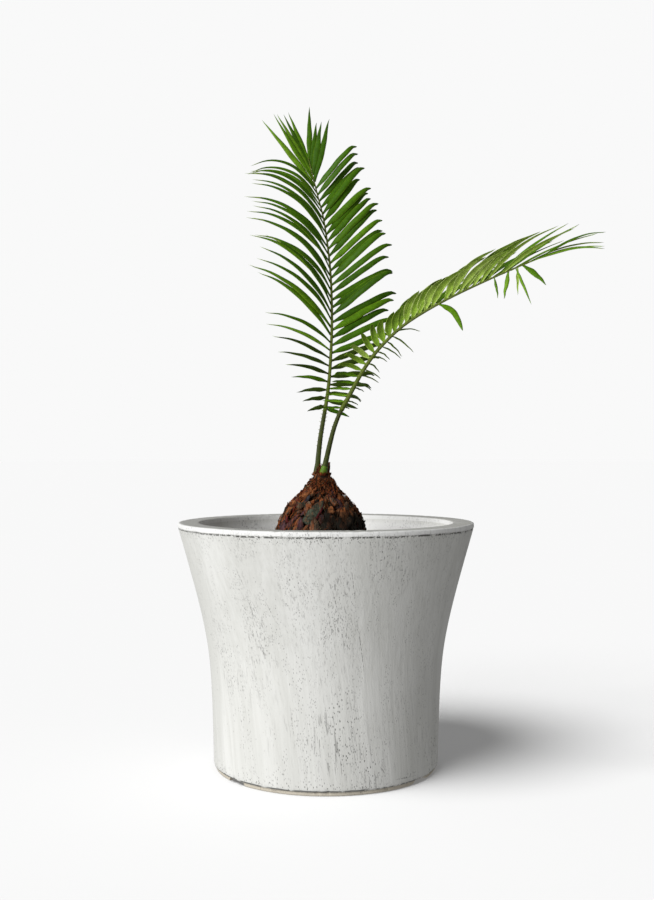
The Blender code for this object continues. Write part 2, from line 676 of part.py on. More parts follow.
# The arching frond is seen from its side and a little from below. Its near
# leaflets rise off the rib and bend over, and a few of them hang down limp.
ARCHING = {
    "seed": 42,
    "facing": Vector((0.0, 0.0, 1.0)),
    "roll": ((0.0, -16.0), (0.15, -12.0), (0.45, -8.0), (0.6, -2.0), (1.0, 0.0)),
    "right": {
        "opening": ((0.0, 112.0), (0.1, 108.0), (0.2, 94.0), (0.27, 78.0), (0.35, 54.0),
                    (0.5, 46.0), (0.6, 42.0), (0.7, 38.0), (0.8, 31.0), (0.9, 20.0), (1.0, 12.0)),
        "lift": ((0.0, 44.0), (0.1, 42.0), (0.2, 50.0), (0.3, 60.0), (0.45, 62.0), (0.7, 58.0),
                 (0.85, 40.0), (0.92, 10.0), (1.0, -20.0)),
        "fall": ((0.0, 20.0), (0.12, 50.0), (0.2, 70.0), (0.45, 66.0), (0.6, 56.0), (0.8, 40.0),
                 (1.0, 0.0)),
        "spread": ((0.0, 8.0), (0.2, -10.0), (0.3, -36.0), (0.4, -54.0), (0.6, -54.0),
                   (0.7, -48.0), (0.8, -36.0), (0.9, -14.0), (1.0, 0.0)),
        "length": ((0.0, 0.022), (0.1, 0.026), (0.2, 0.030), (0.27, 0.030), (0.35, 0.030),
                   (0.45, 0.040), (0.55, 0.053), (0.65, 0.066), (0.8, 0.087), (1.0, 0.066)),
        "sag": ((0.0, 0.15), (0.5, 0.15), (0.85, 0.1), (1.0, 0.7)),
        "late": ((0.0, 0.9), (0.5, 1.2)),
        "twist": ((0.0, 0.0),),
        "loose": ((0.0, 1.2), (0.75, 1.4), (1.0, 4.0)),
        "gaps": (-0.5, 1.5, 3.5, 5.5, 8.5, 11.5, 15.5, 18.5, 22.5, 25.5, 28.5, 31.5, 34.5),
        "bunch": ((0.0, 2.0), (0.3, 1.0), (1.0, 1.0)),
        "width": ((0.0, 0.50), (0.14, 0.60), (0.22, 0.85), (0.35, 1.10), (0.6, 1.10), (0.8, 0.85),
                  (1.0, 0.65)),
        "foot": ((0.0, 0.20), (0.5, 0.26), (1.0, 0.45)),
        "tip": ((0.0, 3.0), (0.2, 6.0), (0.6, 4.9), (0.8, 2.2), (1.0, 1.7)),
        "hanging": {
            20: {"opening": 60.0, "spread": 8.0, "lift": -42.0, "fall": 0.0, "sag": 1.5,
                 "length": 0.054, "width": 0.8},
            28: {"opening": 98.0, "spread": 0.0, "lift": -72.0, "fall": 0.0, "sag": 0.5,
                 "length": 0.023, "width": 0.4},
            30: {"opening": 118.0, "spread": 0.0, "lift": -72.0, "fall": 0.0, "sag": 0.5,
                 "length": 0.029, "width": 0.65},
            31: {"opening": 86.0, "spread": 0.0, "lift": -68.0, "fall": 0.0, "sag": 0.3,
                 "length": 0.044, "width": 0.4},
            32: {"opening": 64.0, "spread": 0.0, "lift": -54.0, "fall": 0.0, "sag": 0.5,
                 "length": 0.038, "width": 0.8},
        },
    },
    "left": {
        "opening": ((0.0, 100.0), (0.2, 94.0), (0.38, 90.0), (0.40, 52.0), (0.6, 38.0),
                    (0.7, 33.0), (0.85, 23.0), (1.0, 14.0)),
        "lift": ((0.0, 24.0), (0.2, 18.0), (0.38, 8.0), (0.40, 40.0), (0.75, 42.0), (0.85, 50.0),
                 (1.0, 16.0)),
        "fall": ((0.0, 12.0), (0.3, 16.0), (0.45, 30.0), (0.8, 30.0), (1.0, 20.0)),
        "spread": ((0.0, 6.0), (0.38, 6.0), (0.40, -20.0), (0.8, -20.0), (1.0, 0.0)),
        "length": ((0.0, 0.020), (0.1, 0.028), (0.2, 0.044), (0.38, 0.042), (0.40, 0.038),
                   (0.6, 0.058), (0.75, 0.080), (0.85, 0.092), (1.0, 0.068)),
        "sag": ((0.0, 0.10), (0.2, 0.35), (0.38, 0.35), (0.40, 0.1), (0.85, 0.1), (1.0, 0.7)),
        "late": ((0.0, 1.2),),
        "twist": ((0.0, -60.0), (0.35, -50.0), (0.6, 0.0)),
        "loose": ((0.0, 1.2), (0.75, 1.4), (1.0, 4.0)),
        "gaps": (-0.5, 0.5, 2.5, 4.5, 7.5, 9.5, 11.5, 13.5, 17.5, 21.5, 25.5, 29.5, 34.5),
        "bunch": ((0.0, 5.0), (0.38, 5.0), (0.40, 1.0)),
        "width": ((0.0, 0.50), (0.38, 0.55), (0.5, 0.90), (0.8, 0.80), (1.0, 0.60)),
        "foot": ((0.0, 0.25), (1.0, 0.45)),
        "tip": ((0.0, 2.2), (1.0, 1.7)),
        "hanging": {
            31: {"opening": 112.0, "spread": 0.0, "lift": -75.0, "fall": 0.0, "sag": 0.5,
                 "length": 0.027, "width": 0.4},
        },
    },
}

UPRIGHT_BLADE_START = 0.065
ARCHING_BLADE_START = 0.068


def build():
    """Make every piece of the potted palm."""
    remove_everything()
    group = new_collection("potted_sago_palm")
    cutter_group = new_collection("cutters")
    make_pot(group, cutter_group)
    make_soil(group)
    make_trunk(group)
    for word, frond, route, start in (
            ("upright", UPRIGHT, UPRIGHT_ROUTE, UPRIGHT_BLADE_START),
            ("arching", ARCHING, ARCHING_ROUTE, ARCHING_BLADE_START)):
        path = Path(route)
        make_stalk("stalk_" + word, path, start, group)
        make_frond("frond_" + word, frond, path, start, group)


build()
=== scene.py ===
# %% [markdown]
# A young sago palm in a flared, whitewashed cement pot.
#
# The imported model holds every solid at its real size: pot, potting mix, trunk, two stalks and two fronds.
# This notebook dresses that model for a studio picture. Each solid gets a finer skin that keeps to its
# place and its reach, and each skin gets a finish made from procedural nodes.

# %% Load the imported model
import math
import random

import bmesh
import bpy
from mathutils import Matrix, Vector, noise


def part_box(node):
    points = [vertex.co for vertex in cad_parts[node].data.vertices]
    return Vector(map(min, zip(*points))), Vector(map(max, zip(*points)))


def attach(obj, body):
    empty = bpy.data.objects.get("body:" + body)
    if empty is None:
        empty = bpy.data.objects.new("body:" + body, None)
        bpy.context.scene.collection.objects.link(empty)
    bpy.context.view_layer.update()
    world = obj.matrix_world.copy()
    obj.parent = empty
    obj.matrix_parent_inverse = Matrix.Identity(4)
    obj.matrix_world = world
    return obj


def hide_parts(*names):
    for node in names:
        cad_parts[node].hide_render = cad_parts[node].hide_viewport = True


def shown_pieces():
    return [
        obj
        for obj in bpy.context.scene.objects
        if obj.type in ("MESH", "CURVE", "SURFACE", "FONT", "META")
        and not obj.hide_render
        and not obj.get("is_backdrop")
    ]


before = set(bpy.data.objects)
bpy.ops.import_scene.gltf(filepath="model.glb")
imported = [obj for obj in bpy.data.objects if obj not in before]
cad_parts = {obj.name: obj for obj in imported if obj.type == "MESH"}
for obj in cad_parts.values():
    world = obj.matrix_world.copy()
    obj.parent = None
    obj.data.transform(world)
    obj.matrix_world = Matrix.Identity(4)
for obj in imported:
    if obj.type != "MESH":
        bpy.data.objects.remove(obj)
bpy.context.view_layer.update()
print("nodes:", sorted(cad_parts))

# %% [markdown]
# The camera comes first, because it decides what has to look right. The picture was taken with the lens
# level, a little above the rim of the pot, so the pot's sides stay upright and the rim shows as a thin
# ellipse. The lens is worked out from its length in pixels and the height of the picture.

# %% Camera
PICTURE_HEIGHT = 900
LENS_IN_PIXELS = 1128.0
SENSOR = 36.0
NEAREST = 0.01
EYE = (0.001, -1.153, 0.320)

camera = bpy.data.objects.new("camera", bpy.data.cameras.new("camera"))
camera.data.sensor_width = SENSOR
camera.data.lens = LENS_IN_PIXELS * SENSOR / PICTURE_HEIGHT
camera.data.clip_start = NEAREST
camera.location = EYE
camera.rotation_euler = (math.radians(90.0), 0.0, 0.0)
bpy.context.scene.collection.objects.link(camera)
bpy.context.scene.camera = camera
print("lens, in mm:", round(camera.data.lens, 2))

# %% [markdown]
# Shader graphs are easier to read as sums than as a list of nodes and links. One small class wraps the
# output of a node. Adding or multiplying two of them makes the Math node that does it, and the method
# `node` makes any other node: first its settings, then what goes into its sockets.
#
# Colours are written on the 0 to 255 scale of a picture, because that is how they are read off.
# Blender mixes light, so each one is turned into amounts of light first.

# %% Shader helper
class Wire:
    """One output inside a material. Arithmetic on wires adds the nodes that work it out."""

    def __init__(self, tree, socket=None):
        self.tree = tree
        self.socket = socket

    def node(self, kind, settings=None, values=None, output=0):
        """Add a node: its settings first, then the values or the links of its sockets."""
        made = self.tree.nodes.new(kind)
        for name, value in (settings or {}).items():
            setattr(made, name, value)
        for place, value in (values or {}).items():
            if isinstance(value, Wire):
                self.tree.links.new(value.socket, made.inputs[place])
            else:
                made.inputs[place].default_value = value
        return Wire(self.tree, made.outputs[output])

    def maths(self, operation, *others):
        """A Math node on this number and others."""
        return self.node("ShaderNodeMath", {"operation": operation}, dict(enumerate((self, *others))))

    def __add__(self, other):
        return self.maths("ADD", other)

    def __mul__(self, other):
        return self.maths("MULTIPLY", other)

    def __sub__(self, other):
        return self.maths("SUBTRACT", other)

    def __rsub__(self, other):
        return self.maths("MULTIPLY_ADD", -1.0, other)

    __radd__ = __add__
    __rmul__ = __mul__

    def parts(self):
        """The three numbers of a vector."""
        made = self.node("ShaderNodeSeparateXYZ", values={0: self}).socket.node
        return [Wire(self.tree, socket) for socket in made.outputs]

    def rise(self, low, high):
        """0 below low, 1 above high, with a soft step between them."""
        settings = {"interpolation_type": "SMOOTHSTEP"}
        return self.node("ShaderNodeMapRange", settings, {0: self, 1: low, 2: high})

    def near(self, place, reach):
        """1 where the value is at a place, falling to 0 a certain reach away from it."""
        return 1.0 - (self - place).maths("ABSOLUTE").rise(0.0, reach)

    def most(self, *others):
        """The largest of this number and others."""
        largest = self
        for other in others:
            largest = largest.maths("MAXIMUM", other)
        return largest

    def stretched(self, across, up=None):
        """A position scaled across and up: a large number makes a fine pattern."""
        scales = (across, across, across if up is None else up)
        return self.node("ShaderNodeVectorMath", {"operation": "MULTIPLY"}, {0: self, 1: scales})

    def cloud(self, detail=2.0, roughness=0.5):
        """Soft noise between 0 and 1 at this position."""
        values = {"Vector": self, "Scale": 1.0, "Detail": detail, "Roughness": roughness}
        return self.node("ShaderNodeTexNoise", values=values)

    def cells(self, output=0):
        """Many scattered points: the distance to the nearest, or its random colour as output 1."""
        return self.node("ShaderNodeTexVoronoi", values={"Vector": self, "Scale": 1.0}, output=output)

    def mix(self, first, second):
        """A colour: first where this mask is 0, second where it is 1."""
        settings = {"data_type": "RGBA", "clamp_factor": True}
        return self.node("ShaderNodeMix", settings, {0: self, 6: first, 7: second}, output=2)

    def under(self, *coats):
        """This colour under coats of others, each a mask and a colour."""
        colour = self
        for mask, coat in coats:
            colour = mask.mix(colour, coat)
        return colour

    def bump(self, strength, distance):
        """A surface direction that follows this height."""
        values = {"Strength": strength, "Distance": distance, "Height": self}
        return self.node("ShaderNodeBump", values=values)


def paint(red, green, blue):
    """A colour read off a picture, as amounts of light: the curve is that of sRGB."""
    lights = []
    for value in (red, green, blue):
        share = value / 255.0
        lights.append(share / 12.92 if share < 0.04045 else ((share + 0.055) / 1.055) ** 2.4)
    return (*lights, 1.0)


SOCKET_NAMES = {
    "colour": "Base Color",
    "roughness": "Roughness",
    "normal": "Normal",
    "gloss": "Specular IOR Level",
    "glow_colour": "Emission Color",
    "glow": "Emission Strength",
}


def new_finish(name):
    """An empty material, the position on the piece in metres, and the way to fill its sockets."""
    finish = bpy.data.materials.new(name)
    finish.use_nodes = True
    tree = finish.node_tree
    shader = tree.nodes["Principled BSDF"]

    def dress(**sockets):
        for word, value in sockets.items():
            socket = shader.inputs[SOCKET_NAMES[word]]
            if isinstance(value, Wire):
                tree.links.new(value.socket, socket)
            else:
                socket.default_value = value
        return finish

    position = Wire(tree).node("ShaderNodeTexCoord", output="Object")
    return position, dress


print("white of the wash as light:", [round(value, 3) for value in paint(238, 238, 234)])

# %% [markdown]
# The stage is a plain pale floor with no visible end. A white room gives the backdrop, but it lights the
# object only weakly, or the shadow side of the pot would wash out. One broad low light from the left
# front models the pot and the leaves, and a higher one throws the soft shadow on the floor.

# %% Stage and light
BACKDROP = paint(249, 249, 249)
ROOM_ABOVE = 0.24
ROOM_BELOW = 0.32
ROOM_BLEND = 0.4
FLOOR_GREY = 0.45
FLOOR_GLOW = 0.12
FLOOR_SIZE = 60.0
KEY_STRENGTH = 2.95
SHADOW_STRENGTH = 5.94
REFLECTOR_STRENGTH = 0.9
UNDER_FILL_STRENGTH = 1.0
# Each light's turn from the front towards the right, height above the floor and breadth, in degrees.
KEY_PLACE = (-48.0, 22.0, 42.0)
SHADOW_PLACE = (-49.0, 56.8, 36.0)
REFLECTOR_PLACE = (-8.0, -30.0, 60.0)
UNDER_FILL_PLACE = (-20.0, -48.0, 70.0)


def grey(value):
    """A neutral colour of this much light."""
    return (value, value, value, 1.0)


def make_floor():
    """A wide matt floor that shows shadows but throws no light back."""
    mesh = bpy.data.meshes.new("floor")
    half = FLOOR_SIZE / 2
    corners = [(-half, -half, 0.0), (half, -half, 0.0), (half, half, 0.0), (-half, half, 0.0)]
    mesh.from_pydata(corners, [], [(0, 1, 2, 3)])
    floor = bpy.data.objects.new("floor", mesh)
    bpy.context.scene.collection.objects.link(floor)
    dress = new_finish("studio_floor")[1]
    mesh.materials.append(dress(colour=grey(FLOOR_GREY), roughness=1.0, gloss=0.0,
                                glow_colour=grey(1.0), glow=FLOOR_GLOW))
    floor.visible_diffuse = False
    floor.visible_glossy = False
    floor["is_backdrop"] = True
    return floor


def make_room():
    """A white backdrop for the camera and a weaker, even light for everything else."""
    world = bpy.data.worlds.new("room")
    bpy.context.scene.world = world
    world.use_nodes = True
    tree = world.node_tree
    start = Wire(tree)
    seen = start.node("ShaderNodeLightPath", output="Is Camera Ray")
    height = start.node("ShaderNodeTexCoord", output="Generated").parts()[2]
    lit = height.rise(-ROOM_BLEND, ROOM_BLEND).mix(grey(ROOM_BELOW), grey(ROOM_ABOVE))
    tree.links.new(seen.mix(lit, BACKDROP).socket, tree.nodes["Background"].inputs["Color"])


def make_sun(name, place, strength, rule, things):
    """A broad distant light that includes or excludes some things."""
    turn, height, breadth = place
    light = bpy.data.lights.new(name, "SUN")
    light.energy = strength
    light.angle = math.radians(breadth)
    sun = bpy.data.objects.new(name, light)
    sun.rotation_euler = (math.radians(90.0 - height), 0.0, math.radians(turn))
    bpy.context.scene.collection.objects.link(sun)
    group = bpy.data.collections.new(name + "_receivers")
    sun.light_linking.receiver_collection = group
    for thing in things:
        group.objects.link(thing)
    for member in group.collection_objects:
        member.light_linking.link_state = rule


floor = make_floor()
make_room()
make_sun("window_light", KEY_PLACE, KEY_STRENGTH, "EXCLUDE", [floor])
make_sun("shadow_light", SHADOW_PLACE, SHADOW_STRENGTH, "INCLUDE", [floor])
bpy.context.scene.view_settings.view_transform = "Standard"
print("lights:", [light.name for light in bpy.data.lights])

# %% [markdown]
# Every skin is worked out in code as points and faces. A `Form` gathers them, so that hundreds of small
# things become one joined mesh, and each face remembers the number of its finish. At the end the faces
# are turned outwards, shell by shell, and the piece is handed to the model: it rides on the plant's one
# body and may stand for a solid.

# %% Mesh helper
def blend(a, b, t):
    """The value a share t of the way from a to b."""
    return a + (b - a) * t


def soft_step(value, low, high):
    """0 below low, 1 above high, smooth between them."""
    t = min(max((value - low) / (high - low), 0.0), 1.0)
    return t * t * (3.0 - 2.0 * t)


class Form:
    """Points and faces of one joined piece."""

    def __init__(self):
        self.points = []
        self.faces = []
        self.finishes = []

    def add(self, points):
        """Add points and return the number of the first."""
        first = len(self.points)
        self.points.extend(points)
        return first

    def face(self, corners, finish=0):
        """Add one face."""
        self.faces.append(corners)
        self.finishes.append(finish)

    def loft(self, rings, finish=0, start=None, end=None):
        """Join closed rings of equal length. Start and end are points, or None for a flat cap."""
        count = len(rings[0])
        firsts = [self.add(ring) for ring in rings]
        pick = finish if callable(finish) else lambda row, column: finish
        for row, (low, high) in enumerate(zip(firsts, firsts[1:])):
            for j in range(count):
                k = (j + 1) % count
                self.face((low + j, low + k, high + k, high + j), pick(row, j))
        for point, first, row in ((start, firsts[0], 0), (end, firsts[-1], len(rings) - 1)):
            if point is None:
                self.face(tuple(range(first, first + count)), pick(row, 0))
                continue
            peak = self.add([point])
            for j in range(count):
                self.face((first + j, first + (j + 1) % count, peak), pick(row, j))

    def piece(self, name, finishes, stands_for=(), smooth=True):
        """Make the object, turn its faces outwards and hand it to the model."""
        mesh = bpy.data.meshes.new(name)
        mesh.from_pydata(self.points, [], self.faces)
        mesh.polygons.foreach_set("material_index", self.finishes)
        for finish in finishes:
            mesh.materials.append(finish)
        form = bmesh.new()
        form.from_mesh(mesh)
        bmesh.ops.recalc_face_normals(form, faces=form.faces)
        form.to_mesh(mesh)
        form.free()
        if smooth:
            mesh.shade_smooth()
        thing = bpy.data.objects.new(name, mesh)
        bpy.context.scene.collection.objects.link(thing)
        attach(thing, "root")
        if stands_for:
            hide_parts(*stands_for)
        print(f"{name}: {len(mesh.polygons)} faces")
        return thing


# A slanting direction that no stem or thread runs along, from which one across each of them is found.
ODD_DIRECTION = Vector((0.31, 0.87, 0.39))


def turns(count):
    """The angles of equal steps round a circle."""
    return [math.tau * j / count for j in range(count)]


def circle(radius, z, count):
    """Points of a level circle round the pot's axis."""
    return [(radius * math.cos(angle), radius * math.sin(angle), z) for angle in turns(count)]


def about(centre, first, second, angle, reach):
    """A point this far from a centre, turned from a first direction towards a second one."""
    return centre + first * (math.cos(angle) * reach) + second * (math.sin(angle) * reach)


def tube_ring(centre, along, radius, sides):
    """Points of a circle across a direction."""
    across = along.cross(ODD_DIRECTION).normalized()
    other = along.cross(across)
    return [about(centre, across, other, angle, radius) for angle in turns(sides)]


# %% [markdown]
# The pot is cast in glass-fibre cement and turned on its axis: a low foot with three drainage notches, a
# wall that flares from half way up, and a plain lip. Its outline is the same formula as in the model.
# A fine turned mesh carries what a hand-finished pot has: a slightly wavy wall, shallow brush ridges that
# wind a little round the pot, a scored line under the lip, and small chips along both edges.

# %% Pot outline
POT_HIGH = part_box("pot")[1]
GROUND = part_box("soil")[1].z
POT_HEIGHT = POT_HIGH.z
RIM_RADIUS = POT_HIGH.x
LOW_RADIUS = 0.1138
LOW_TAPER = 0.020
FLARE_SLOPE = 0.262
FLARE_START = 0.1235
FLARE_SOFTNESS = 0.022
WALL = 0.0215
POT_FLOOR = 0.020
LIP_LINE = POT_HEIGHT - 0.0056
FOOT_HEIGHT = 0.0036
FOOT_RADIUS = 0.1114
EDGE_ROUNDING = 0.0024
LIP_ROUNDING = 0.0016
NOTCH_ANGLES = (-35.0, 92.0, 219.5)
NOTCH_HALF_WIDTH = 0.0115
NOTCH_ROUNDING = 0.001
NOTCH_SIDE = (NOTCH_HALF_WIDTH - NOTCH_ROUNDING, NOTCH_HALF_WIDTH + NOTCH_ROUNDING)
NOTCH_DEPTH = 0.026
BRUSH_TWIST = 1.0

POT_SEGMENTS = 360
INNER_STEPS = 44
LIP_STEPS = 12
WALL_STEPS = 104
# Below the lip line the rings stay close for this far, and the underside has rings this far in.
FINE_BAND = 0.0035
SOLE_DEPTHS = (0.0006, 0.009, 0.018, NOTCH_DEPTH, NOTCH_DEPTH + 0.0008, 0.06)

# How far hand work and wear move the surface, in metres.
WALL_WAVE = 0.00035
BRUSH_RIDGE = 0.00013
FINE_RIDGE = 0.00007
SCORE_DEPTH = 0.0005
SCORE_HALF_WIDTH = 0.0006
SCORE_WANDER = 0.0006
LIP_CHIP = 0.0016
LIP_CHIP_DOWN = 0.0012
FOOT_CHIP = 0.0042
FOOT_ROUGHNESS = 0.0011


def wall_radius(z):
    """Outer radius of the wall: nearly upright below, flared above."""
    swell = math.log1p(math.exp((z - FLARE_START) / FLARE_SOFTNESS))
    return min(LOW_RADIUS + LOW_TAPER * z + FLARE_SLOPE * FLARE_SOFTNESS * swell, RIM_RADIUS)


def corner(centre_r, centre_z, radius, start, end, count=6):
    """Points of a rounded corner of the section, angles in degrees."""
    points = []
    for i in range(count):
        angle = math.radians(blend(start, end, i / (count - 1)))
        points.append((centre_r + radius * math.cos(angle), centre_z + radius * math.sin(angle)))
    return points


def wall_run(start, end, steps, first=0, inset=0.0):
    """Points of the section along the wall, from one height towards another."""
    heights = [blend(start, end, i / steps) for i in range(first, steps)]
    return [(wall_radius(z) - inset, z) for z in heights]


def pot_section():
    """The section from the middle of the inner floor, over the lip and down to the underside."""
    low = POT_FLOOR + EDGE_ROUNDING
    high = POT_HEIGHT - LIP_ROUNDING
    foot = FOOT_HEIGHT + EDGE_ROUNDING
    inner_rim = RIM_RADIUS - WALL
    lip_end = LIP_LINE - FINE_BAND
    section = corner(wall_radius(low) - WALL - EDGE_ROUNDING, low, EDGE_ROUNDING, -90, 0)
    section += wall_run(low, high, INNER_STEPS, 1, WALL)
    section += corner(inner_rim + LIP_ROUNDING, high, LIP_ROUNDING, 180, 90)
    section += [(blend(inner_rim, RIM_RADIUS, share), POT_HEIGHT) for share in (0.25, 0.5, 0.75)]
    section += corner(RIM_RADIUS - LIP_ROUNDING, high, LIP_ROUNDING, 90, 0)
    section += wall_run(high, lip_end, LIP_STEPS, 1)
    section += wall_run(lip_end, foot, WALL_STEPS)
    section += corner(FOOT_RADIUS, foot, wall_radius(foot) - FOOT_RADIUS, 0, -90)
    section += [(FOOT_RADIUS, FOOT_HEIGHT * 0.5), (FOOT_RADIUS, 0.0008)]
    section += [(FOOT_RADIUS - depth, 0.0) for depth in SOLE_DEPTHS]
    return section


def in_notch(radius, angle):
    """1 inside a drainage notch of the foot, 0 outside it."""
    if radius < FOOT_RADIUS - NOTCH_DEPTH - 0.0004:
        return 0.0
    inside = 0.0
    for notch in NOTCH_ANGLES:
        turn = angle - math.radians(notch)
        if math.cos(turn) > 0.0:
            inside = max(inside, 1.0 - soft_step(abs(radius * math.sin(turn)), *NOTCH_SIDE))
    return inside


def weathered(radius, z, angle):
    """Move a point of the pot as hand work and wear would: waves, brush ridges, scoring and chips."""
    across = Vector((math.cos(angle), math.sin(angle), 0.0))
    wound = angle + BRUSH_TWIST * z
    brushed = Vector((math.cos(wound) * 13.0, math.sin(wound) * 13.0, z * 9.0))
    wave = noise.noise(across * 1.6 + Vector((0.0, 0.0, z * 9.0)))
    ridge = noise.noise(brushed)
    fine = noise.noise(brushed * 2.7)
    grow = WALL_WAVE * wave + BRUSH_RIDGE * ridge + FINE_RIDGE * fine
    if radius > RIM_RADIUS - 0.004 and z > LIP_LINE - 0.003:
        broken = 0.5 + noise.noise(across * 21.0)
        scored = math.exp(-((z - LIP_LINE - SCORE_WANDER * wave) / SCORE_HALF_WIDTH) ** 2)
        grow -= SCORE_DEPTH * scored * max(broken, 0.15)
    edge = across * 34.0 + Vector((0.0, 0.0, z * 90.0))
    chip = max(noise.noise(edge) - 0.30, 0.0) + 0.5 * max(noise.noise(edge * 2.3) - 0.35, 0.0)
    at_lip = soft_step(z, POT_HEIGHT - 0.0022, POT_HEIGHT - 0.0004)
    at_foot = 1.0 - soft_step(z, FOOT_HEIGHT + 0.0002, FOOT_HEIGHT + 0.0040)
    if radius > FOOT_RADIUS - 0.001:
        grow -= chip * (LIP_CHIP * at_lip + FOOT_CHIP * at_foot * soft_step(z, 0.0001, 0.002))
        grow -= FOOT_ROUGHNESS * abs(noise.noise(edge * 1.9)) * at_foot * soft_step(z, 0.002, 0.005)
    z -= chip * LIP_CHIP_DOWN * at_lip
    if z < FOOT_HEIGHT:
        z = max(z, FOOT_HEIGHT * in_notch(radius, angle))
    return radius + grow, z


def make_pot(finish):
    """The turned pot."""
    rings = []
    for radius, z in pot_section():
        ring = []
        for angle in turns(POT_SEGMENTS):
            r, height = weathered(radius, z, angle)
            ring.append((r * math.cos(angle), r * math.sin(angle), height))
        rings.append(ring)
    form = Form()
    form.loft(rings, start=(0.0, 0.0, POT_FLOOR), end=(0.0, 0.0, 0.0))
    return form.piece("whitewashed_pot", [finish], ("pot",))


# %% [markdown]
# Whitewash on cement is never one white. The brush leaves faint bands, air holes stay open as dark
# specks in drifts, hairlines follow the brush, and the wash has rubbed off where the pot is handled: in
# a broken line under the lip and along the foot, which shows the warmer cement below.
#
# The marks that have a place are lines on the unrolled wall, measured as the arc from the front and the
# height. All the rest is noise, stretched along the brush strokes.

# %% Cement finish
WASH = paint(238, 238, 234)
WASH_SHADE = paint(224, 224, 219)
WASH_INSIDE = paint(251, 251, 249)
CEMENT_GREY = paint(176, 175, 169)
FOOT_BEIGE = paint(206, 198, 182)
GRIME = paint(48, 47, 43)
MARK_RADIUS = 0.125

# Drifts of air holes: the middle in degrees and millimetres, then half the width and half the height.
DRIFTS = (
    (8.0, 172.0, 14.0, 62.0),
    (-1.0, 46.0, 17.0, 44.0),
    (21.5, 12.0, 7.0, 14.0),
    (-31.0, 150.0, 8.0, 50.0),
)

# From (degrees, millimetres) to (degrees, millimetres), and half the width in millimetres.
SCRATCHES = (
    (-36.5, 214.0, -33.0, 190.0, 0.35),
    (-33.5, 190.0, -30.6, 158.0, 0.55),
    (-31.0, 181.0, -28.6, 168.0, 0.35),
    (-25.0, 183.0, -20.9, 162.0, 0.35),
    (-30.3, 147.6, -26.4, 114.0, 0.55),
    (8.5, 226.0, 12.6, 168.0, 0.35),
    (12.6, 168.0, 18.4, 104.0, 0.45),
    (2.2, 196.0, 5.0, 172.0, 0.45),
    (-16.5, 78.0, -14.5, 52.0, 0.30),
    (26.1, 25.8, 29.4, 16.6, 0.50),
    (29.4, 16.6, 31.6, 20.6, 0.35),
    (26.6, 30.6, 30.6, 34.6, 0.40),
    (33.5, 10.5, 49.8, 9.0, 0.50),
)


def on_wall(turn, height):
    """A place on the unrolled wall in metres, from degrees and millimetres."""
    return math.radians(turn) * MARK_RADIUS, height / 1000.0


def scratch_mask(arc, z, ragged):
    """1 on the marked lines of the wall, worn ragged by noise."""
    marks = []
    for from_turn, from_height, to_turn, to_height, half in SCRATCHES:
        start_arc, start_z = on_wall(from_turn, from_height)
        end_arc, end_z = on_wall(to_turn, to_height)
        length = math.hypot(end_arc - start_arc, end_z - start_z)
        ahead, aside = (end_arc - start_arc) / length, (end_z - start_z) / length
        beside = (arc - start_arc) * aside - (z - start_z) * ahead
        along = (arc - start_arc) * ahead + (z - start_z) * aside
        marks.append(beside.near(0.0, half / 1000.0) * along.near(length / 2, length * 0.56))
    return marks[0].most(*marks[1:]) * ragged


def drift_mask(arc, z):
    """1 in the drifts of fine air holes on the front of the wall."""
    drifts = []
    for turn, height, half_turn, half_height in DRIFTS:
        middle_arc, middle_z = on_wall(turn, height)
        half_arc, half_z = on_wall(half_turn, half_height)
        drifts.append(arc.near(middle_arc, half_arc) * z.near(middle_z, half_z))
    return drifts[0].most(*drifts[1:]).rise(0.02, 0.80)


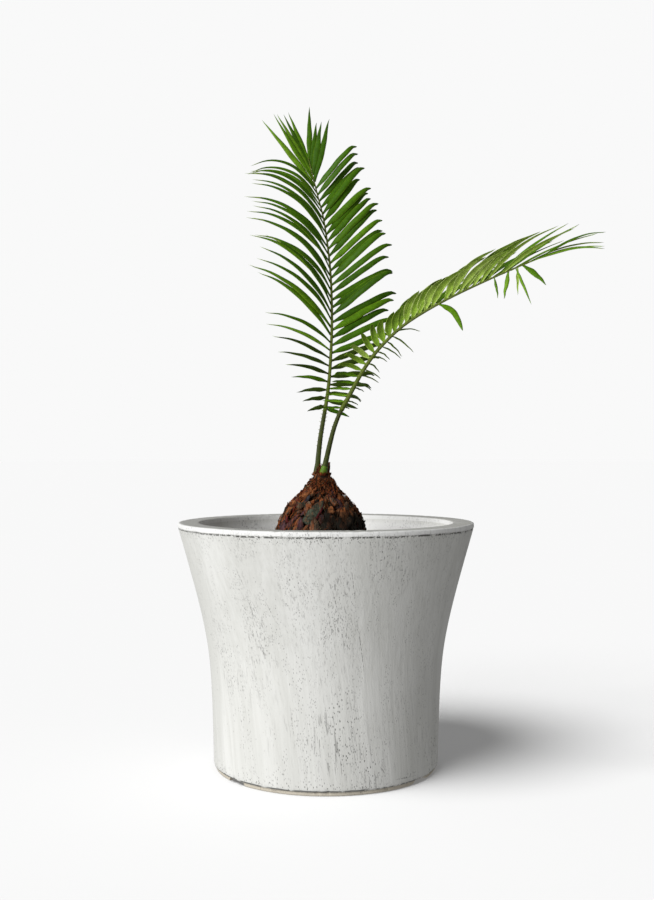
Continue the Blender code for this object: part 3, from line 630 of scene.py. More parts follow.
def make_cement():
    """Whitewashed cement with brush marks, air holes, scratches and worn edges."""
    position, dress = new_finish("whitewashed_cement")
    x, y, z = position.parts()
    arc = x.maths("ARCTAN2", y * -1.0) * MARK_RADIUS
    wound = position.node("ShaderNodeVectorRotate", {"rotation_type": "Z_AXIS"},
                          {"Vector": position, "Angle": z * BRUSH_TWIST})
    from_axis = position.node("ShaderNodeVectorMath", {"operation": "LENGTH"},
                              {0: position.stretched(1.0, 0.0)}, output=1)

    def holes(across, up, small, large):
        return 1.0 - wound.stretched(across, up).cells().rise(small, large)

    # Noise along the brush strokes, then noise in place.
    bands = wound.stretched(26, 3).cloud(3.0)
    brush = wound.stretched(210, 9).cloud(3.0, 0.6)
    streak = wound.stretched(300, 16).cloud(3.0, 0.6)
    hairs = wound.stretched(620, 52).cloud(3.0, 0.65)
    drift = wound.stretched(24, 12).cloud(3.0, 0.6)
    blotch = position.stretched(9, 7).cloud(2.0)
    worn = position.stretched(75, 20).cloud(4.0, 0.7)
    grain = position.stretched(900).cloud(2.0, 0.7)
    dots = position.stretched(620).cloud(1.0).rise(0.40, 0.52)
    ragged = position.stretched(800, 500).cloud(1.0).rise(0.42, 0.56)
    wander = z + (position.stretched(60).cloud(2.0) - 0.5) * 0.0016

    # Parts of the pot.
    is_outer = from_axis.rise(0.100, 0.108)
    bare_foot = 1.0 - z.rise(FOOT_HEIGHT - 0.0006, FOOT_HEIGHT + 0.0010)
    on_top = z.rise(POT_HEIGHT - 0.0012, POT_HEIGHT - 0.0003)
    # The flat top of the rim is greyer: partly bare cement, partly painted shade, as the flat top takes
    # less of the low light.
    rim_top = on_top * (1.0 - from_axis.rise(RIM_RADIUS - 0.0030, RIM_RADIUS - 0.0008))
    lip = z.rise(LIP_LINE + 0.0006, LIP_LINE + 0.0016) * (1.0 - rim_top)
    inner_rim = RIM_RADIUS - WALL
    within = (1.0 - from_axis.rise(inner_rim - 0.002, inner_rim)) * z.rise(GROUND, GROUND + 0.01)

    # Air holes, scuffs and wear.
    fine_holes = holes(720, 260, 0.14, 0.28)
    drifted = drift_mask(arc, z) * drift.rise(0.34, 0.56)
    specks = (holes(420, 260, 0.16, 0.30) * drift.rise(0.50, 0.70)).most(
        holes(170, 95, 0.07, 0.14) * drift.rise(0.46, 0.64) * 0.6,
        fine_holes * drifted * worn.rise(0.40, 0.54) * 0.85,
        fine_holes * worn.rise(0.50, 0.58) * is_outer * 0.65)
    scuffs = hairs.rise(0.57, 0.65) * (drifted * 0.8 + drift.rise(0.40, 0.62) * 0.6).maths("MINIMUM", 1.0)
    crumbled = fine_holes * wander.near(LIP_LINE - 0.0020, 0.0075) * from_axis.rise(0.1420, 0.1445)
    under_lip = wander.near(LIP_LINE, 0.0015) * worn.rise(0.36, 0.47) * from_axis.rise(0.1455, 0.1475)
    foot_line = wander.near(FOOT_HEIGHT + 0.0010, 0.0013) * worn.rise(0.38, 0.50) * is_outer
    rubbed = fine_holes * z.near(FOOT_HEIGHT + 0.0050, 0.0110) * is_outer
    dark = (specks * 0.62).most(
        scratch_mask(arc, z, ragged) * 0.75,
        scuffs * is_outer * 0.40,
        crumbled * 0.8,
        under_lip * dots * 0.95,
        foot_line * 0.85,
        rubbed * worn.rise(0.38, 0.50) * 0.75)

    colour = (bands * 0.6 + brush * 0.4).rise(0.38, 0.66).mix(WASH_SHADE, WASH).under(
        (blotch.rise(0.56, 0.74) * 0.22, CEMENT_GREY),
        (brush.rise(0.56, 0.72) * drift.rise(0.40, 0.62) * 0.30, CEMENT_GREY),
        (streak.rise(0.50, 0.70) * is_outer * 0.10, CEMENT_GREY),
        # Grey on the rim's top: partly bare cement, partly painted shade.
        (rim_top * 0.46, CEMENT_GREY),
        (lip * 0.9, WASH_INSIDE),
        (within * 0.9, WASH_INSIDE),
        (bare_foot, FOOT_BEIGE),
        (dark, GRIME))
    height = brush * 0.5 + grain * 0.35 + bands * 0.4 + streak * 0.6 + hairs * 0.3 - dark * 1.6
    return dress(colour=colour, roughness=grain * 0.10 + 0.74, normal=height.bump(0.65, 0.0006),
                 gloss=0.30)


make_pot(make_cement())

# %% [markdown]
# Potting mix fills the pot to a finger's width under the rim. From the front it hides behind the rim, but
# from above it shows, so it is a lumpy surface with crumbs, bark chips and a few pale grains of pumice
# sunk in it. The crumbs are small irregular lumps, all joined to one mesh.

# %% Potting mix
TRUNK_LOW, TRUNK_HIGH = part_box("trunk")
TRUNK_FOOT = Vector(((TRUNK_LOW.x + TRUNK_HIGH.x) / 2, (TRUNK_LOW.y + TRUNK_HIGH.y) / 2, 0.0))
GAP = 0.0003
BED_RINGS = 62
BED_SEGMENTS = 180
BED_HEIGHTS = (GROUND - 0.010, 0.15, 0.08, POT_FLOOR + EDGE_ROUNDING)
LUMP_SIDES = 6
# Crumbs, bark chips and pumice: how many, the number of the finish, the sizes in metres, and how flat.
CRUMB_KINDS = (
    (900, 0, (0.0010, 0.0024), 0.9),
    (150, 1, (0.0022, 0.0052), 0.4),
    (40, 2, (0.0010, 0.0022), 0.9),
)


def from_trunk(x, y):
    """Distance from the middle of the trunk's foot, along the ground."""
    return (Vector((x, y, 0.0)) - TRUNK_FOOT).length


def ground_height(x, y):
    """Height of the potting mix: soft heaps, a little higher round the trunk."""
    place = Vector((x, y, 0.0))
    heaps = noise.noise(place * 28.0) * 0.0022
    crumble = noise.noise(place * 150.0) * 0.0011 + noise.noise(place * 420.0) * 0.0005
    collar = 0.0030 * (1.0 - soft_step(from_trunk(x, y), 0.046, 0.075))
    return GROUND - 0.0022 + heaps + crumble + collar


def make_soil(finish):
    """The filled body of potting mix with a lumpy top."""
    edge = wall_radius(GROUND) - WALL - GAP
    rings = []
    for i in range(1, BED_RINGS + 1):
        flat = circle(edge * i / BED_RINGS, 0.0, BED_SEGMENTS)
        rings.append([(x, y, ground_height(x, y)) for x, y, _ in flat])
    for z in BED_HEIGHTS:
        rings.append(circle(wall_radius(z) - WALL - GAP, z, BED_SEGMENTS))
    form = Form()
    form.loft(rings, start=(0.0, 0.0, ground_height(0.0, 0.0)), end=(0.0, 0.0, POT_FLOOR + GAP))
    return form.piece("potting_mix_bed", [finish], ("soil",))


def add_lump(form, centre, size, chance, finish, flat):
    """One crumb: a rough ball of three rings."""
    stretch = [chance.uniform(0.7, 1.3) for _ in range(3)]
    turn = chance.uniform(0.0, math.tau)
    tilt = chance.uniform(-0.6, 0.6)
    rings = []
    for level in (-0.62, 0.0, 0.62):
        girth = math.sqrt(1.0 - level * level)
        ring = []
        for angle in turns(LUMP_SIDES):
            rough = chance.uniform(0.78, 1.16)
            x = math.cos(angle) * girth * rough * stretch[0]
            y = math.sin(angle) * girth * rough * stretch[1]
            z = (level * stretch[2] + x * tilt) * flat
            ring.append(centre + Vector((x * math.cos(turn) - y * math.sin(turn),
                                         x * math.sin(turn) + y * math.cos(turn), z)) * size)
        rings.append(ring)
    top = Vector((0.0, 0.0, size * stretch[2] * flat))
    form.loft(rings, finish, start=centre - top, end=centre + top)


def make_crumbs(finishes):
    """Crumbs, bark chips and pumice, scattered over the mix outside the trunk."""
    chance = random.Random(5)
    form = Form()
    edge = wall_radius(GROUND) - WALL - 0.004
    for count, finish, sizes, flat in CRUMB_KINDS:
        for _ in range(count):
            radius = edge * math.sqrt(chance.uniform(0.0, 1.0))
            angle = chance.uniform(0.0, math.tau)
            x, y = radius * math.cos(angle), radius * math.sin(angle)
            size = chance.uniform(*sizes)
            if from_trunk(x, y) >= 0.044:
                centre = Vector((x, y, ground_height(x, y) + size * 0.25))
                add_lump(form, centre, size, chance, finish, flat)
    return form.piece("mix_crumbs", finishes, smooth=False)


def make_earth(name, dark, light):
    """A matt, broken brown for soil, bark chips and pumice."""
    position, dress = new_finish(name)
    lumps = position.stretched(260).cloud(4.0, 0.7)
    grain = position.stretched(1500).cloud(2.0, 0.6)
    colour = (lumps * 0.6 + grain * 0.4).rise(0.35, 0.68).mix(paint(*dark), paint(*light))
    return dress(colour=colour, roughness=0.95, gloss=0.2,
                 normal=(lumps + grain * 0.5).bump(0.7, 0.0008))


earth = make_earth("damp_potting_mix", (30, 23, 17), (86, 66, 48))
chips = make_earth("bark_chips", (52, 34, 22), (128, 88, 58))
pumice = make_earth("pumice_grains", (140, 134, 122), (214, 208, 194))
make_soil(earth)
make_crumbs([earth, chips, pumice])

# %% [markdown]
# The trunk of a young sago palm is a squat cone of old leaf bases. Each base is a blunt tongue that
# points up and stands a little off the one above it, set along a spiral that turns by the golden angle.
# Between them, and round the crown, grows a rusty felt of coarse threads.
#
# The inner body follows the solid's own formula with rough bark on it. The tongues are small curved
# plates laid on that surface: a place on it is an angle and a share of the height, so a plate bends with
# the trunk by itself. Their colours are dealt out tongue by tongue.

# %% Trunk surface
TRUNK_TALL = TRUNK_HIGH.z - TRUNK_LOW.z
TRUNK_GIRTH = 0.0465
TRUNK_CROWN = 0.0098
TRUNK_SHOULDER = 3.4
TRUNK_DRAW_IN = 2.0
TRUNK_LEAN = 0.0015
TRUNK_AXIS = Vector((-0.0058, 0.0, TRUNK_LOW.z))
BODY_SINK = 0.0062
CROWN_SINK = 0.0014
CROWN_SCALES = 17
# Where the near stalk's foot shows, in radians clockwise from x: the crown scales there are shorter.
NEAR_STALK_TURN = 1.35
GOLDEN_ANGLE = math.radians(137.508)
BODY_SEGMENTS = 160
BODY_ROWS = 70
SPIRAL_BASES = 150
# How far the foot and the tip of a base and of a crown scale may stand off the surface, in metres.
BASE_LIFTS = ((-0.0064, -0.0034), (-0.0032, 0.0002))
SCALE_LIFTS = ((-0.0020, -0.0010), (-0.0040, -0.0022))
PLATE_FOOT_LIFT = -0.0024
PLATE_TIP_SINK = 0.0003
# Half the step over which the slope of the trunk is measured, as a share of its height.
SLOPE_STEP = 0.01


def trunk_radius(share):
    """Radius of the trunk at a share of its height."""
    share = min(max(share, 0.0), 1.0)
    swell = (1.0 - share ** TRUNK_SHOULDER) ** TRUNK_DRAW_IN
    return blend(TRUNK_CROWN, TRUNK_GIRTH, swell)


def on_trunk(angle, share, out=0.0):
    """A point on the trunk, moved out along the surface's own direction."""
    change = trunk_radius(share + SLOPE_STEP) - trunk_radius(share - SLOPE_STEP)
    slope = change / (2 * SLOPE_STEP * TRUNK_TALL)
    level = 1.0 / math.hypot(1.0, slope)
    radius = trunk_radius(share) + out * level
    z = share * TRUNK_TALL - out * slope * level
    lean = TRUNK_LEAN * share
    return TRUNK_AXIS + Vector((radius * math.cos(angle) + lean, radius * math.sin(angle), z))


def beside_on_trunk(angle, share, right, up):
    """The angle and share reached by going right and up along the surface, both in metres."""
    drop = trunk_radius(share - SLOPE_STEP) - trunk_radius(share + SLOPE_STEP)
    rate = math.hypot(drop, 2 * SLOPE_STEP * TRUNK_TALL) / (2 * SLOPE_STEP)
    new_share = share + up / rate
    girth = max(trunk_radius(min(new_share, 1.0)), 0.006)
    return angle + right / girth, new_share


def make_trunk_body(finishes):
    """The rough body behind the tongues, flat at the ground and at the crown."""
    rings = []
    for i in range(BODY_ROWS + 1):
        share = i / BODY_ROWS
        fade = min(1.0, share * 8.0, (1.0 - share) * 8.0)
        sink = blend(BODY_SINK, CROWN_SINK, soft_step(share, 0.80, 0.96))
        ring = []
        for angle in turns(BODY_SEGMENTS):
            rough = noise.fractal(on_trunk(angle, share) * 95.0, 0.8, 2.1, 4) * 0.0016
            point = on_trunk(angle, share, rough * fade - sink)
            point.z = min(max(point.z, TRUNK_LOW.z), TRUNK_HIGH.z)
            ring.append(point)
        rings.append(ring)
    low, high = [ring[0].lerp(ring[BODY_SEGMENTS // 2], 0.5) for ring in (rings[0], rings[-1])]
    form = Form()
    form.loft(rings, start=low, end=high)
    return form.piece("trunk_body", finishes, ("trunk",))


def add_tongue(form, angle, share, size, tilt, lifts, chance, finishes):
    """One old leaf base: a thick blunt plate, closed all round, laid on the trunk's surface.

    Angle and share are its foot's place, tilt is its lean to the right in radians, and lifts say how far
    the foot and the tip stand off the surface. Finishes are those of its face and of its edge.
    """
    rows, columns = 9, 8
    length, width, thick = size
    hollow = chance.uniform(0.0000, 0.0012)
    rings = []
    for i in range(rows + 1):
        u = i / rows
        half = width / 2 * (0.80 + 0.25 * math.sin(math.pi * min(u * 1.2, 1.0)))
        half *= math.sqrt(max(1.0 - max(0.0, (u - 0.62) / 0.385) ** 2, 0.0)) if u < 1.0 else 0.32
        ring = []
        for j in range(2 * columns):
            upper = j < columns
            v = blend(-1.0, 1.0, (j if upper else 2 * columns - 1 - j) / (columns - 1))
            across = v * half
            right = across * math.cos(tilt) + u * length * math.sin(tilt)
            up = u * length * math.cos(tilt) - across * math.sin(tilt)
            a, s = beside_on_trunk(angle, share, right, up)
            rough = noise.fractal(on_trunk(a, s) * 190.0, 0.7, 2.1, 4) * 0.0019
            lift = blend(*lifts, u ** 1.4) - hollow * (1.0 - v * v) + rough
            body = thick * (1.0 - 0.45 * u) * (1.0 - 0.55 * abs(v) ** 3)
            ring.append(on_trunk(a, s, lift + (body if upper else 0.0)))
        rings.append(ring)

    # The right edge, the side away from the light, takes the edge finish: near black there is painted
    # shade, while rust and red are the edges' own colours.
    def pick(row, column):
        return finishes[1] if column in (columns - 2, columns - 1, columns) else finishes[0]

    form.loft(rings, pick)


# The plates that show most: angle and share of the foot, length and width in millimetres, lean to the
# right in degrees, lift of the tip in millimetres, and the finishes of face and edge.
SHOWN_PLATES = (
    (-110.0, 0.38, 25.0, 13.0, 31.0, 0.8, 2, 5),
    (-131.0, 0.58, 11.0, 8.0, 25.0, -1.8, 2, 2),
    (-123.0, 0.66, 9.0, 5.0, 10.0, -1.2, 6, 6),
    (-76.0, 0.52, 8.0, 8.5, 12.0, -1.2, 1, 1),
    (-151.0, 0.22, 15.0, 13.0, 5.0, -0.4, 3, 3),
    (-58.0, 0.26, 17.0, 11.0, -18.0, -2.2, 4, 4),
    (-84.0, 0.26, 15.0, 11.0, 12.0, -2.6, 4, 4),
    (-40.0, 0.30, 15.0, 10.0, -10.0, -1.8, 4, 3),
    (-20.0, 0.56, 10.0, 8.0, -8.0, 0.2, 4, 0),
    (-9.0, 0.26, 10.0, 9.0, 0.0, 0.4, 4, 4),
    (-113.0, 0.20, 15.0, 5.0, 18.0, -2.0, 0, 1),
    (-126.0, 0.28, 15.0, 5.0, 12.0, -1.8, 1, 5),
    (-152.0, 0.50, 14.0, 8.0, 14.0, -0.4, 1, 0),
    (-137.0, 0.72, 14.0, 7.0, 22.0, -0.9, 1, 1),
    (-96.0, 0.70, 12.0, 4.0, 6.0, -1.8, 4, 4),
    (-62.0, 0.62, 12.0, 7.0, -14.0, -1.8, 0, 3),
    (-88.0, 0.64, 9.0, 4.5, -8.0, -2.0, 1, 5),
)


def make_tongues(finishes):
    """All the old leaf bases: a golden-angle spiral, the shown plates, and small scales at the crown."""
    chance = random.Random(41)
    form = Form()
    for number in range(SPIRAL_BASES):
        climb = blend(-0.02, 0.93, (number / (SPIRAL_BASES - 1)) ** 0.92)
        share = max(climb + chance.uniform(-0.025, 0.025), 0.0)
        angle = number * GOLDEN_ANGLE + chance.uniform(-0.25, 0.25)
        scale = blend(0.42, 1.0, trunk_radius(share) / TRUNK_GIRTH) * chance.uniform(0.75, 1.35)
        size = (0.0150 * scale, 0.0078 * scale * chance.uniform(0.6, 1.4), 0.0038 * scale)
        # Faces are dealt with other odds on each flank: more rust on the lit left flank and more near black
        # on the right, away from the light; partly the bark's own colours, partly painted highlight and
        # painted shade.
        lit_left_flank = 0.5 - 0.5 * math.cos(angle)
        weights = (4.0, 2.0 + 3.0 * lit_left_flank, 1.6, 2.2, 5.0 - 3.0 * lit_left_flank)
        face = chance.choices(range(5), weights)[0]
        # Near black on an edge is painted shade along its shaded right side.
        edge = chance.choices((face, 1, 5, 4), (5.0, 1.6, 0.7, 2.6))[0]
        lifts = [chance.uniform(*limits) for limits in BASE_LIFTS]
        add_tongue(form, angle, share, size, chance.gauss(0.22, 0.45), lifts, chance, (face, edge))
    for angle, share, length, width, lean, lift, face, edge in SHOWN_PLATES:
        size = (length / 1000.0, width / 1000.0, 0.0036)
        lifts = (PLATE_FOOT_LIFT, lift / 1000.0 - PLATE_TIP_SINK)
        add_tongue(form, math.radians(angle), share, size, math.radians(lean), lifts, chance, (face, edge))
    for number in range(CROWN_SCALES):
        angle = number * GOLDEN_ANGLE
        before_foot = math.cos(angle + NEAR_STALK_TURN) > 0.80
        length = chance.uniform(0.0080, 0.0125) * (0.55 if before_foot else 1.0)
        size = (length, chance.uniform(0.0026, 0.0044), 0.0012)
        lifts = [chance.uniform(*limits) for limits in SCALE_LIFTS]
        face = chance.choices((0, 1, 4), (1.5, 3.0, 1.0))[0]
        add_tongue(form, angle, blend(0.89, 0.96, number / CROWN_SCALES), size,
                   chance.gauss(0.0, 0.20), lifts, chance, (face, 1))
    return form.piece("old_leaf_bases", finishes)


# %% [markdown]
# The felt is made of single threads. Each thread is a thin three-sided tube that creeps over the trunk
# in a few steps, so it dips between the tongues and crosses them. Shorter, redder hairs stand in tufts
# round the foot of each stalk.

# %% Threads and wool
def add_thread(form, points, radius, finish):
    """A thread: a three-sided tube that thins towards its end."""
    rings = []
    for i, point in enumerate(points[:-1]):
        along = (points[i + 1] - point).normalized()
        rings.append(tube_ring(point, along, radius * (1.0 - 0.6 * i / len(points)), 3))
    form.loft(rings, finish, start=points[0] - (points[1] - points[0]) * 0.05, end=points[-1])


CREEPING_THREADS = 1300
THREAD_STEPS = 6
LOWEST_THREAD = -0.0032
HIGHEST_THREAD = 0.0005


def make_threads(finishes):
    """Coarse threads that creep over the trunk, rustier on its top and on its left flank, which faces the
    light, there partly as painted highlight.
    """
    chance = random.Random(17)
    form = Form()
    for _ in range(CREEPING_THREADS):
        angle = chance.uniform(0.0, math.tau)
        share = chance.uniform(0.0, 0.96)
        heading = chance.gauss(0.25, 0.55)
        lift = chance.uniform(-0.0028, 0.0000)
        length = chance.uniform(0.006, 0.021) * blend(0.55, 1.0, trunk_radius(share) / TRUNK_GIRTH)
        run = length / THREAD_STEPS
        points = []
        for _ in range(THREAD_STEPS):
            if 0.0 <= share < 0.99:
                points.append(on_trunk(angle, share, lift))
            heading += chance.gauss(0.0, 0.28)
            lift = min(max(lift + chance.gauss(0.0, 0.0006), LOWEST_THREAD), HIGHEST_THREAD)
            angle, share = beside_on_trunk(angle, share, run * math.sin(heading), run * math.cos(heading))
        if len(points) < 3:
            continue
        # More rust on the lit left flank is partly painted highlight; more rust on the top is the crown's
        # own.
        rusty = 0.5 - 0.5 * math.cos(angle) + (0.6 if share > 0.55 else 0.0)
        finish = chance.choices((0, 1, 2, 3), (1.0 + 3.4 * rusty, 0.8, 0.8, 3.4))[0]
        add_thread(form, points, chance.uniform(0.00013, 0.00042), finish)
    return form.piece("trunk_threads", finishes)


def add_hair(form, root, direction, length, chance, finish, radius):
    """A short hair that leans over as it grows."""
    points = [root]
    for _ in range(4):
        direction = (direction + Vector([chance.gauss(0.0, 0.28) for _ in range(3)])).normalized()
        points.append(points[-1] + direction * (length / 4))
    add_thread(form, points, radius, finish)


# %% [markdown]
# Rough bark has no single colour. Every trunk finish mixes a dark and a light tone by coarse noise, with
# crevices painted dark as shade, and darkens as painted shade low on the right flank, away from the light.
# Only the tones differ: rust, grey-brown, slate green, plum and near black.

# %% Trunk finishes
FELT = paint(160, 86, 42)
CREVICE_SHADE = paint(22, 15, 9)
# The colour of the painted shade low on the trunk's right flank, away from the light.
PAINTED_SHADE_BROWN = paint(24, 21, 14)
# Each bark: its name, its dark and light tones, how rusty its fibres are, and how patchy it is.
BARKS = (
    ("bark_grey_brown", (48, 37, 29), (122, 100, 80), 0.6, 0.5),
    ("bark_rust", (78, 45, 26), (172, 110, 66), 0.6, 0.4),
    ("bark_slate_green", (34, 41, 33), (84, 94, 78), 0.2, 0.2),
    ("bark_plum", (46, 30, 32), (106, 74, 80), 0.4, 0.4),
    ("bark_near_black", (17, 14, 9), (48, 38, 27), 0.5, 0.5),
    ("bark_red_edge", (78, 28, 30), (142, 56, 62), 0.2, 0.0),
    ("bark_slate_blue", (32, 34, 40), (74, 76, 86), 0.1, 0.2),
)
NEAR_BLACK = 4
THREADS = (
    ("thread_rust", (104, 50, 22), (184, 100, 48), 0.0, 0.0),
    ("thread_straw", (88, 74, 46), (158, 142, 106), 0.0, 0.0),
    ("thread_red", (88, 28, 20), (142, 58, 40), 0.0, 0.0),
    ("thread_brown", (34, 23, 14), (78, 54, 35), 0.0, 0.0),
)


def make_bark(name, dark, light, rust, patchy):
    """Fibrous bark: streaks that run up the trunk, rusty felt, rusty patches, and painted shade in grooves,
    in dark patches and low on the right.
    """
    position, dress = new_finish(name)
    x, _, z = position.parts()
    across = x - TRUNK_AXIS.x
    height = z - TRUNK_LOW.z
    streaks = position.stretched(420, 130).cloud(4.0, 0.65)
    lumps = position.stretched(130).cloud(2.0)
    fibres = position.stretched(1100, 240).cloud(3.0, 0.7).rise(0.47, 0.60)
    grooves = position.stretched(760, 170).cloud(2.0, 0.6)
    # The left flank faces the light: its extra felt and rusty tufts are partly rust and partly painted
    # highlight. The extra towards the top is the crown's own rust.
    left = 1.0 - across.rise(-0.034, 0.016)
    top = height.rise(0.030, 0.068)
    felted = position.stretched(70).cloud(3.0) + left * 0.10 + top * 0.10
    # Painted shade: every bark darkens low on the right flank, the side away from the light.
    lower_right_shade = (1.0 - height.rise(0.032, 0.046)) * across.rise(-0.008, 0.010)
    coats = [(fibres * felted.rise(0.50, 0.72) * rust, FELT)]
    if patchy:
        patch = position.stretched(400, 210).cells(output=1).parts()[0]
        tuft = patch + left * 0.10 + top * 0.05
        coats.append((tuft.rise(0.80, 0.86) * patchy, FELT))
        # Dark patches in the crevice shade colour: painted shade of gaps in the bark.
        coats.append(((1.0 - patch.rise(0.28, 0.36)) * patchy, CREVICE_SHADE))
    # Painted shade: the bark's grooves are coloured dark, as shaded crevices.
    coats.append(((1.0 - grooves.rise(0.36, 0.46)) * 0.65, CREVICE_SHADE))
    coats.append((lower_right_shade * 0.86, PAINTED_SHADE_BROWN))
    colour = (streaks * 0.65 + lumps * 0.35).rise(0.36, 0.64).mix(paint(*dark), paint(*light))
    return dress(colour=colour.under(*coats), roughness=0.88, gloss=0.22,
                 normal=(streaks + lumps * 0.6 + fibres * 0.5).bump(0.8, 0.0009))


bark_finishes = [make_bark(*row) for row in BARKS]
thread_finishes = [make_bark(*row) for row in THREADS]
# The body behind the tongues is near black: painted shade in the gaps between them.
make_trunk_body([bark_finishes[NEAR_BLACK]])
make_tongues(bark_finishes)
make_threads(thread_finishes)

# %% [markdown]
# A frond is a stem with a row of narrow leaflets down either side. The stem follows a smooth curve
# through a few points, and each leaflet grows from it by a rule: how far it opens from the rib, how it
# lifts and falls, and how long it is at each place along the frond. The points and the rule are those of
# the solids, so that the finer leaflets keep their reach.

# %% Stem routes
LEAFLET_PAIRS = 35
LEAFLET_WIDTH = 0.0070
FOOT_WIDTH = 0.34
ROOT_SINK = 0.0008

# The two rows are staggered: where a leaflet roots, as a share of one pair's step.
RIGHT_OFFSET = 0.30
LEFT_OFFSET = 0.62

# Scatter from leaflet to leaflet: angles in degrees, then sizes as shares.
OPENING_SCATTER = 1.5
LIFT_SCATTER = 6.0
FALL_SCATTER = 8.0
LENGTH_SCATTER = (0.95, 1.04)
WIDTH_SCATTER = (0.92, 1.05)
STALK_RADIUS = 0.0029
BLADE_START_RADIUS = 0.0021
RIB_TIP_RADIUS = 0.0006
PATH_SAMPLES = 240
COURSE_STEPS = 5
# What a limp leaflet takes from its own row instead of from the stations.
HANGING_SIZES = ("opening", "spread", "lift", "fall", "sag", "length", "width")


def between(stations, s):
    """Read a value from stations, each a place along the frond and its value, or from the one value."""
    if not isinstance(stations, dict):
        return stations
    rows = list(stations.items())
    if s <= rows[0][0]:
        return rows[0][1]
    for (s0, v0), (s1, v1) in zip(rows, rows[1:]):
        if s <= s1:
            return blend(v0, v1, (s - s0) / (s1 - s0))
    return rows[-1][1]


def on_span(k, t):
    """Catmull-Rom between the second and third of four knots."""
    a = k[1] * 2
    b = (k[2] - k[0]) * t
    c = (k[0] * 2 - k[1] * 5 + k[2] * 4 - k[3]) * t * t
    d = (k[1] * 3 - k[0] - k[2] * 3 + k[3]) * t ** 3
    return (a + b + c + d) / 2


def on_curve(points, share):
    """A point on the smooth curve through points, at a share of its spans."""
    knots = [points[0] * 2 - points[1]] + list(points) + [points[-1] * 2 - points[-2]]
    spans = len(knots) - 3
    place = min(share * spans, spans - 1e-9)
    span = int(place)
    return on_span(knots[span:span + 4], place - span)


class Path:
    """A smooth curve through a few points, read at equal steps of length."""

    def __init__(self, points):
        knots = [Vector(point) for point in points]
        self.points = [on_curve(knots, i / PATH_SAMPLES) for i in range(PATH_SAMPLES + 1)]
        self.lengths = [0.0]
        for a, b in zip(self.points, self.points[1:]):
            self.lengths.append(self.lengths[-1] + (b - a).length)
        self.total = self.lengths[-1]

    def at(self, length):
        """The point a given length along the curve."""
        length = min(max(length, 0.0), self.total)
        for i, reach in enumerate(self.lengths[1:]):
            if reach >= length:
                t = (length - self.lengths[i]) / (reach - self.lengths[i])
                return self.points[i].lerp(self.points[i + 1], t)
        return self.points[-1].copy()

    def tangent(self, length):
        """The direction of the curve there, towards its far end."""
        half = self.total / PATH_SAMPLES
        return (self.at(length + half) - self.at(length - half)).normalized()


def rib_radius(share):
    """Thickness of the rib, a share of the way along the leafy part."""
    return blend(BLADE_START_RADIUS, RIB_TIP_RADIUS, share ** 0.7)


def swing(start, towards, degrees):
    """A direction turned from a first one towards a second one."""
    turn = math.radians(degrees)
    return start * math.cos(turn) + towards * math.sin(turn)


def frond_axes(frond, length, roll=0.0):
    """Rib direction, upper face and right-hand side of the frond at one place."""
    along = frond["path"].tangent(length)
    facing = frond["facing"]
    face = (facing - along * facing.dot(along)).normalized()
    upper = swing(face, along.cross(face), roll)
    return along, upper, along.cross(upper)


def leaflet_direction(axes, hand, opening, lift, sag=0.0):
    """Direction of a leaflet that opens from the rib and lifts off its side, both in degrees."""
    along, upper, side = axes
    course = swing(along, swing(side * hand, upper, lift), opening)
    return (course + Vector((0.0, 0.0, -sag))).normalized()


def leaflet_angles(shape, u):
    """How far a leaflet opens from the rib and lifts off its side there, in degrees."""
    opening = shape["opening"] + shape["spread"] * u ** 1.2
    lift = shape["lift"] - shape["fall"] * u ** shape["late"]
    return opening, lift


def leaflet_course(root, axes, hand, shape):
    """The six points down the middle of one leaflet, as in the solids."""
    here = root.copy()
    course = []
    for i in range(COURSE_STEPS + 1):
        u = i / COURSE_STEPS
        heading = leaflet_direction(axes, hand, *leaflet_angles(shape, u), shape["sag"] * u ** 1.5)
        course.append(here.copy())
        here += heading * (shape["length"] / COURSE_STEPS)
    return course


def across_leaflet(axes, hand, shape, u, heading):
    """Direction across the blade, square to its heading and always towards the same edge."""
    opening, lift = leaflet_angles(shape, u)
    outward = leaflet_direction(axes, hand, 90.0, lift)
    turn = math.radians(opening)
    flat = axes[0] * math.sin(turn) - outward * math.cos(turn)
    return (flat - heading * flat.dot(heading)).normalized()


def bunch_lean(gaps, number):
    """How many places a leaflet stands above the middle of its bunch, between two gaps."""
    for low, high in zip(gaps, gaps[1:]):
        if low < number < high:
            return number - (low + high) / 2
    return 0.0


def leaflet_shape(side, s, number, chance):
    """The sizes of one leaflet, read from its side's stations, with scatter and bunching."""
    shape = {key: between(side[key], s) for key in side if key not in ("gaps", "hanging")}
    loose = shape["loose"]
    lean = bunch_lean(side["gaps"], number)
    shape["opening"] += shape["bunch"] * lean + chance.uniform(-OPENING_SCATTER, OPENING_SCATTER) * loose
    shape["lift"] += chance.uniform(-LIFT_SCATTER, LIFT_SCATTER) * loose
    shape["fall"] += chance.uniform(-FALL_SCATTER, FALL_SCATTER) * loose
    shape["length"] *= chance.uniform(*LENGTH_SCATTER)
    shape["width"] *= chance.uniform(*WIDTH_SCATTER)
    if number in side["hanging"]:
        shape.update(zip(HANGING_SIZES, side["hanging"][number]))
    return shape


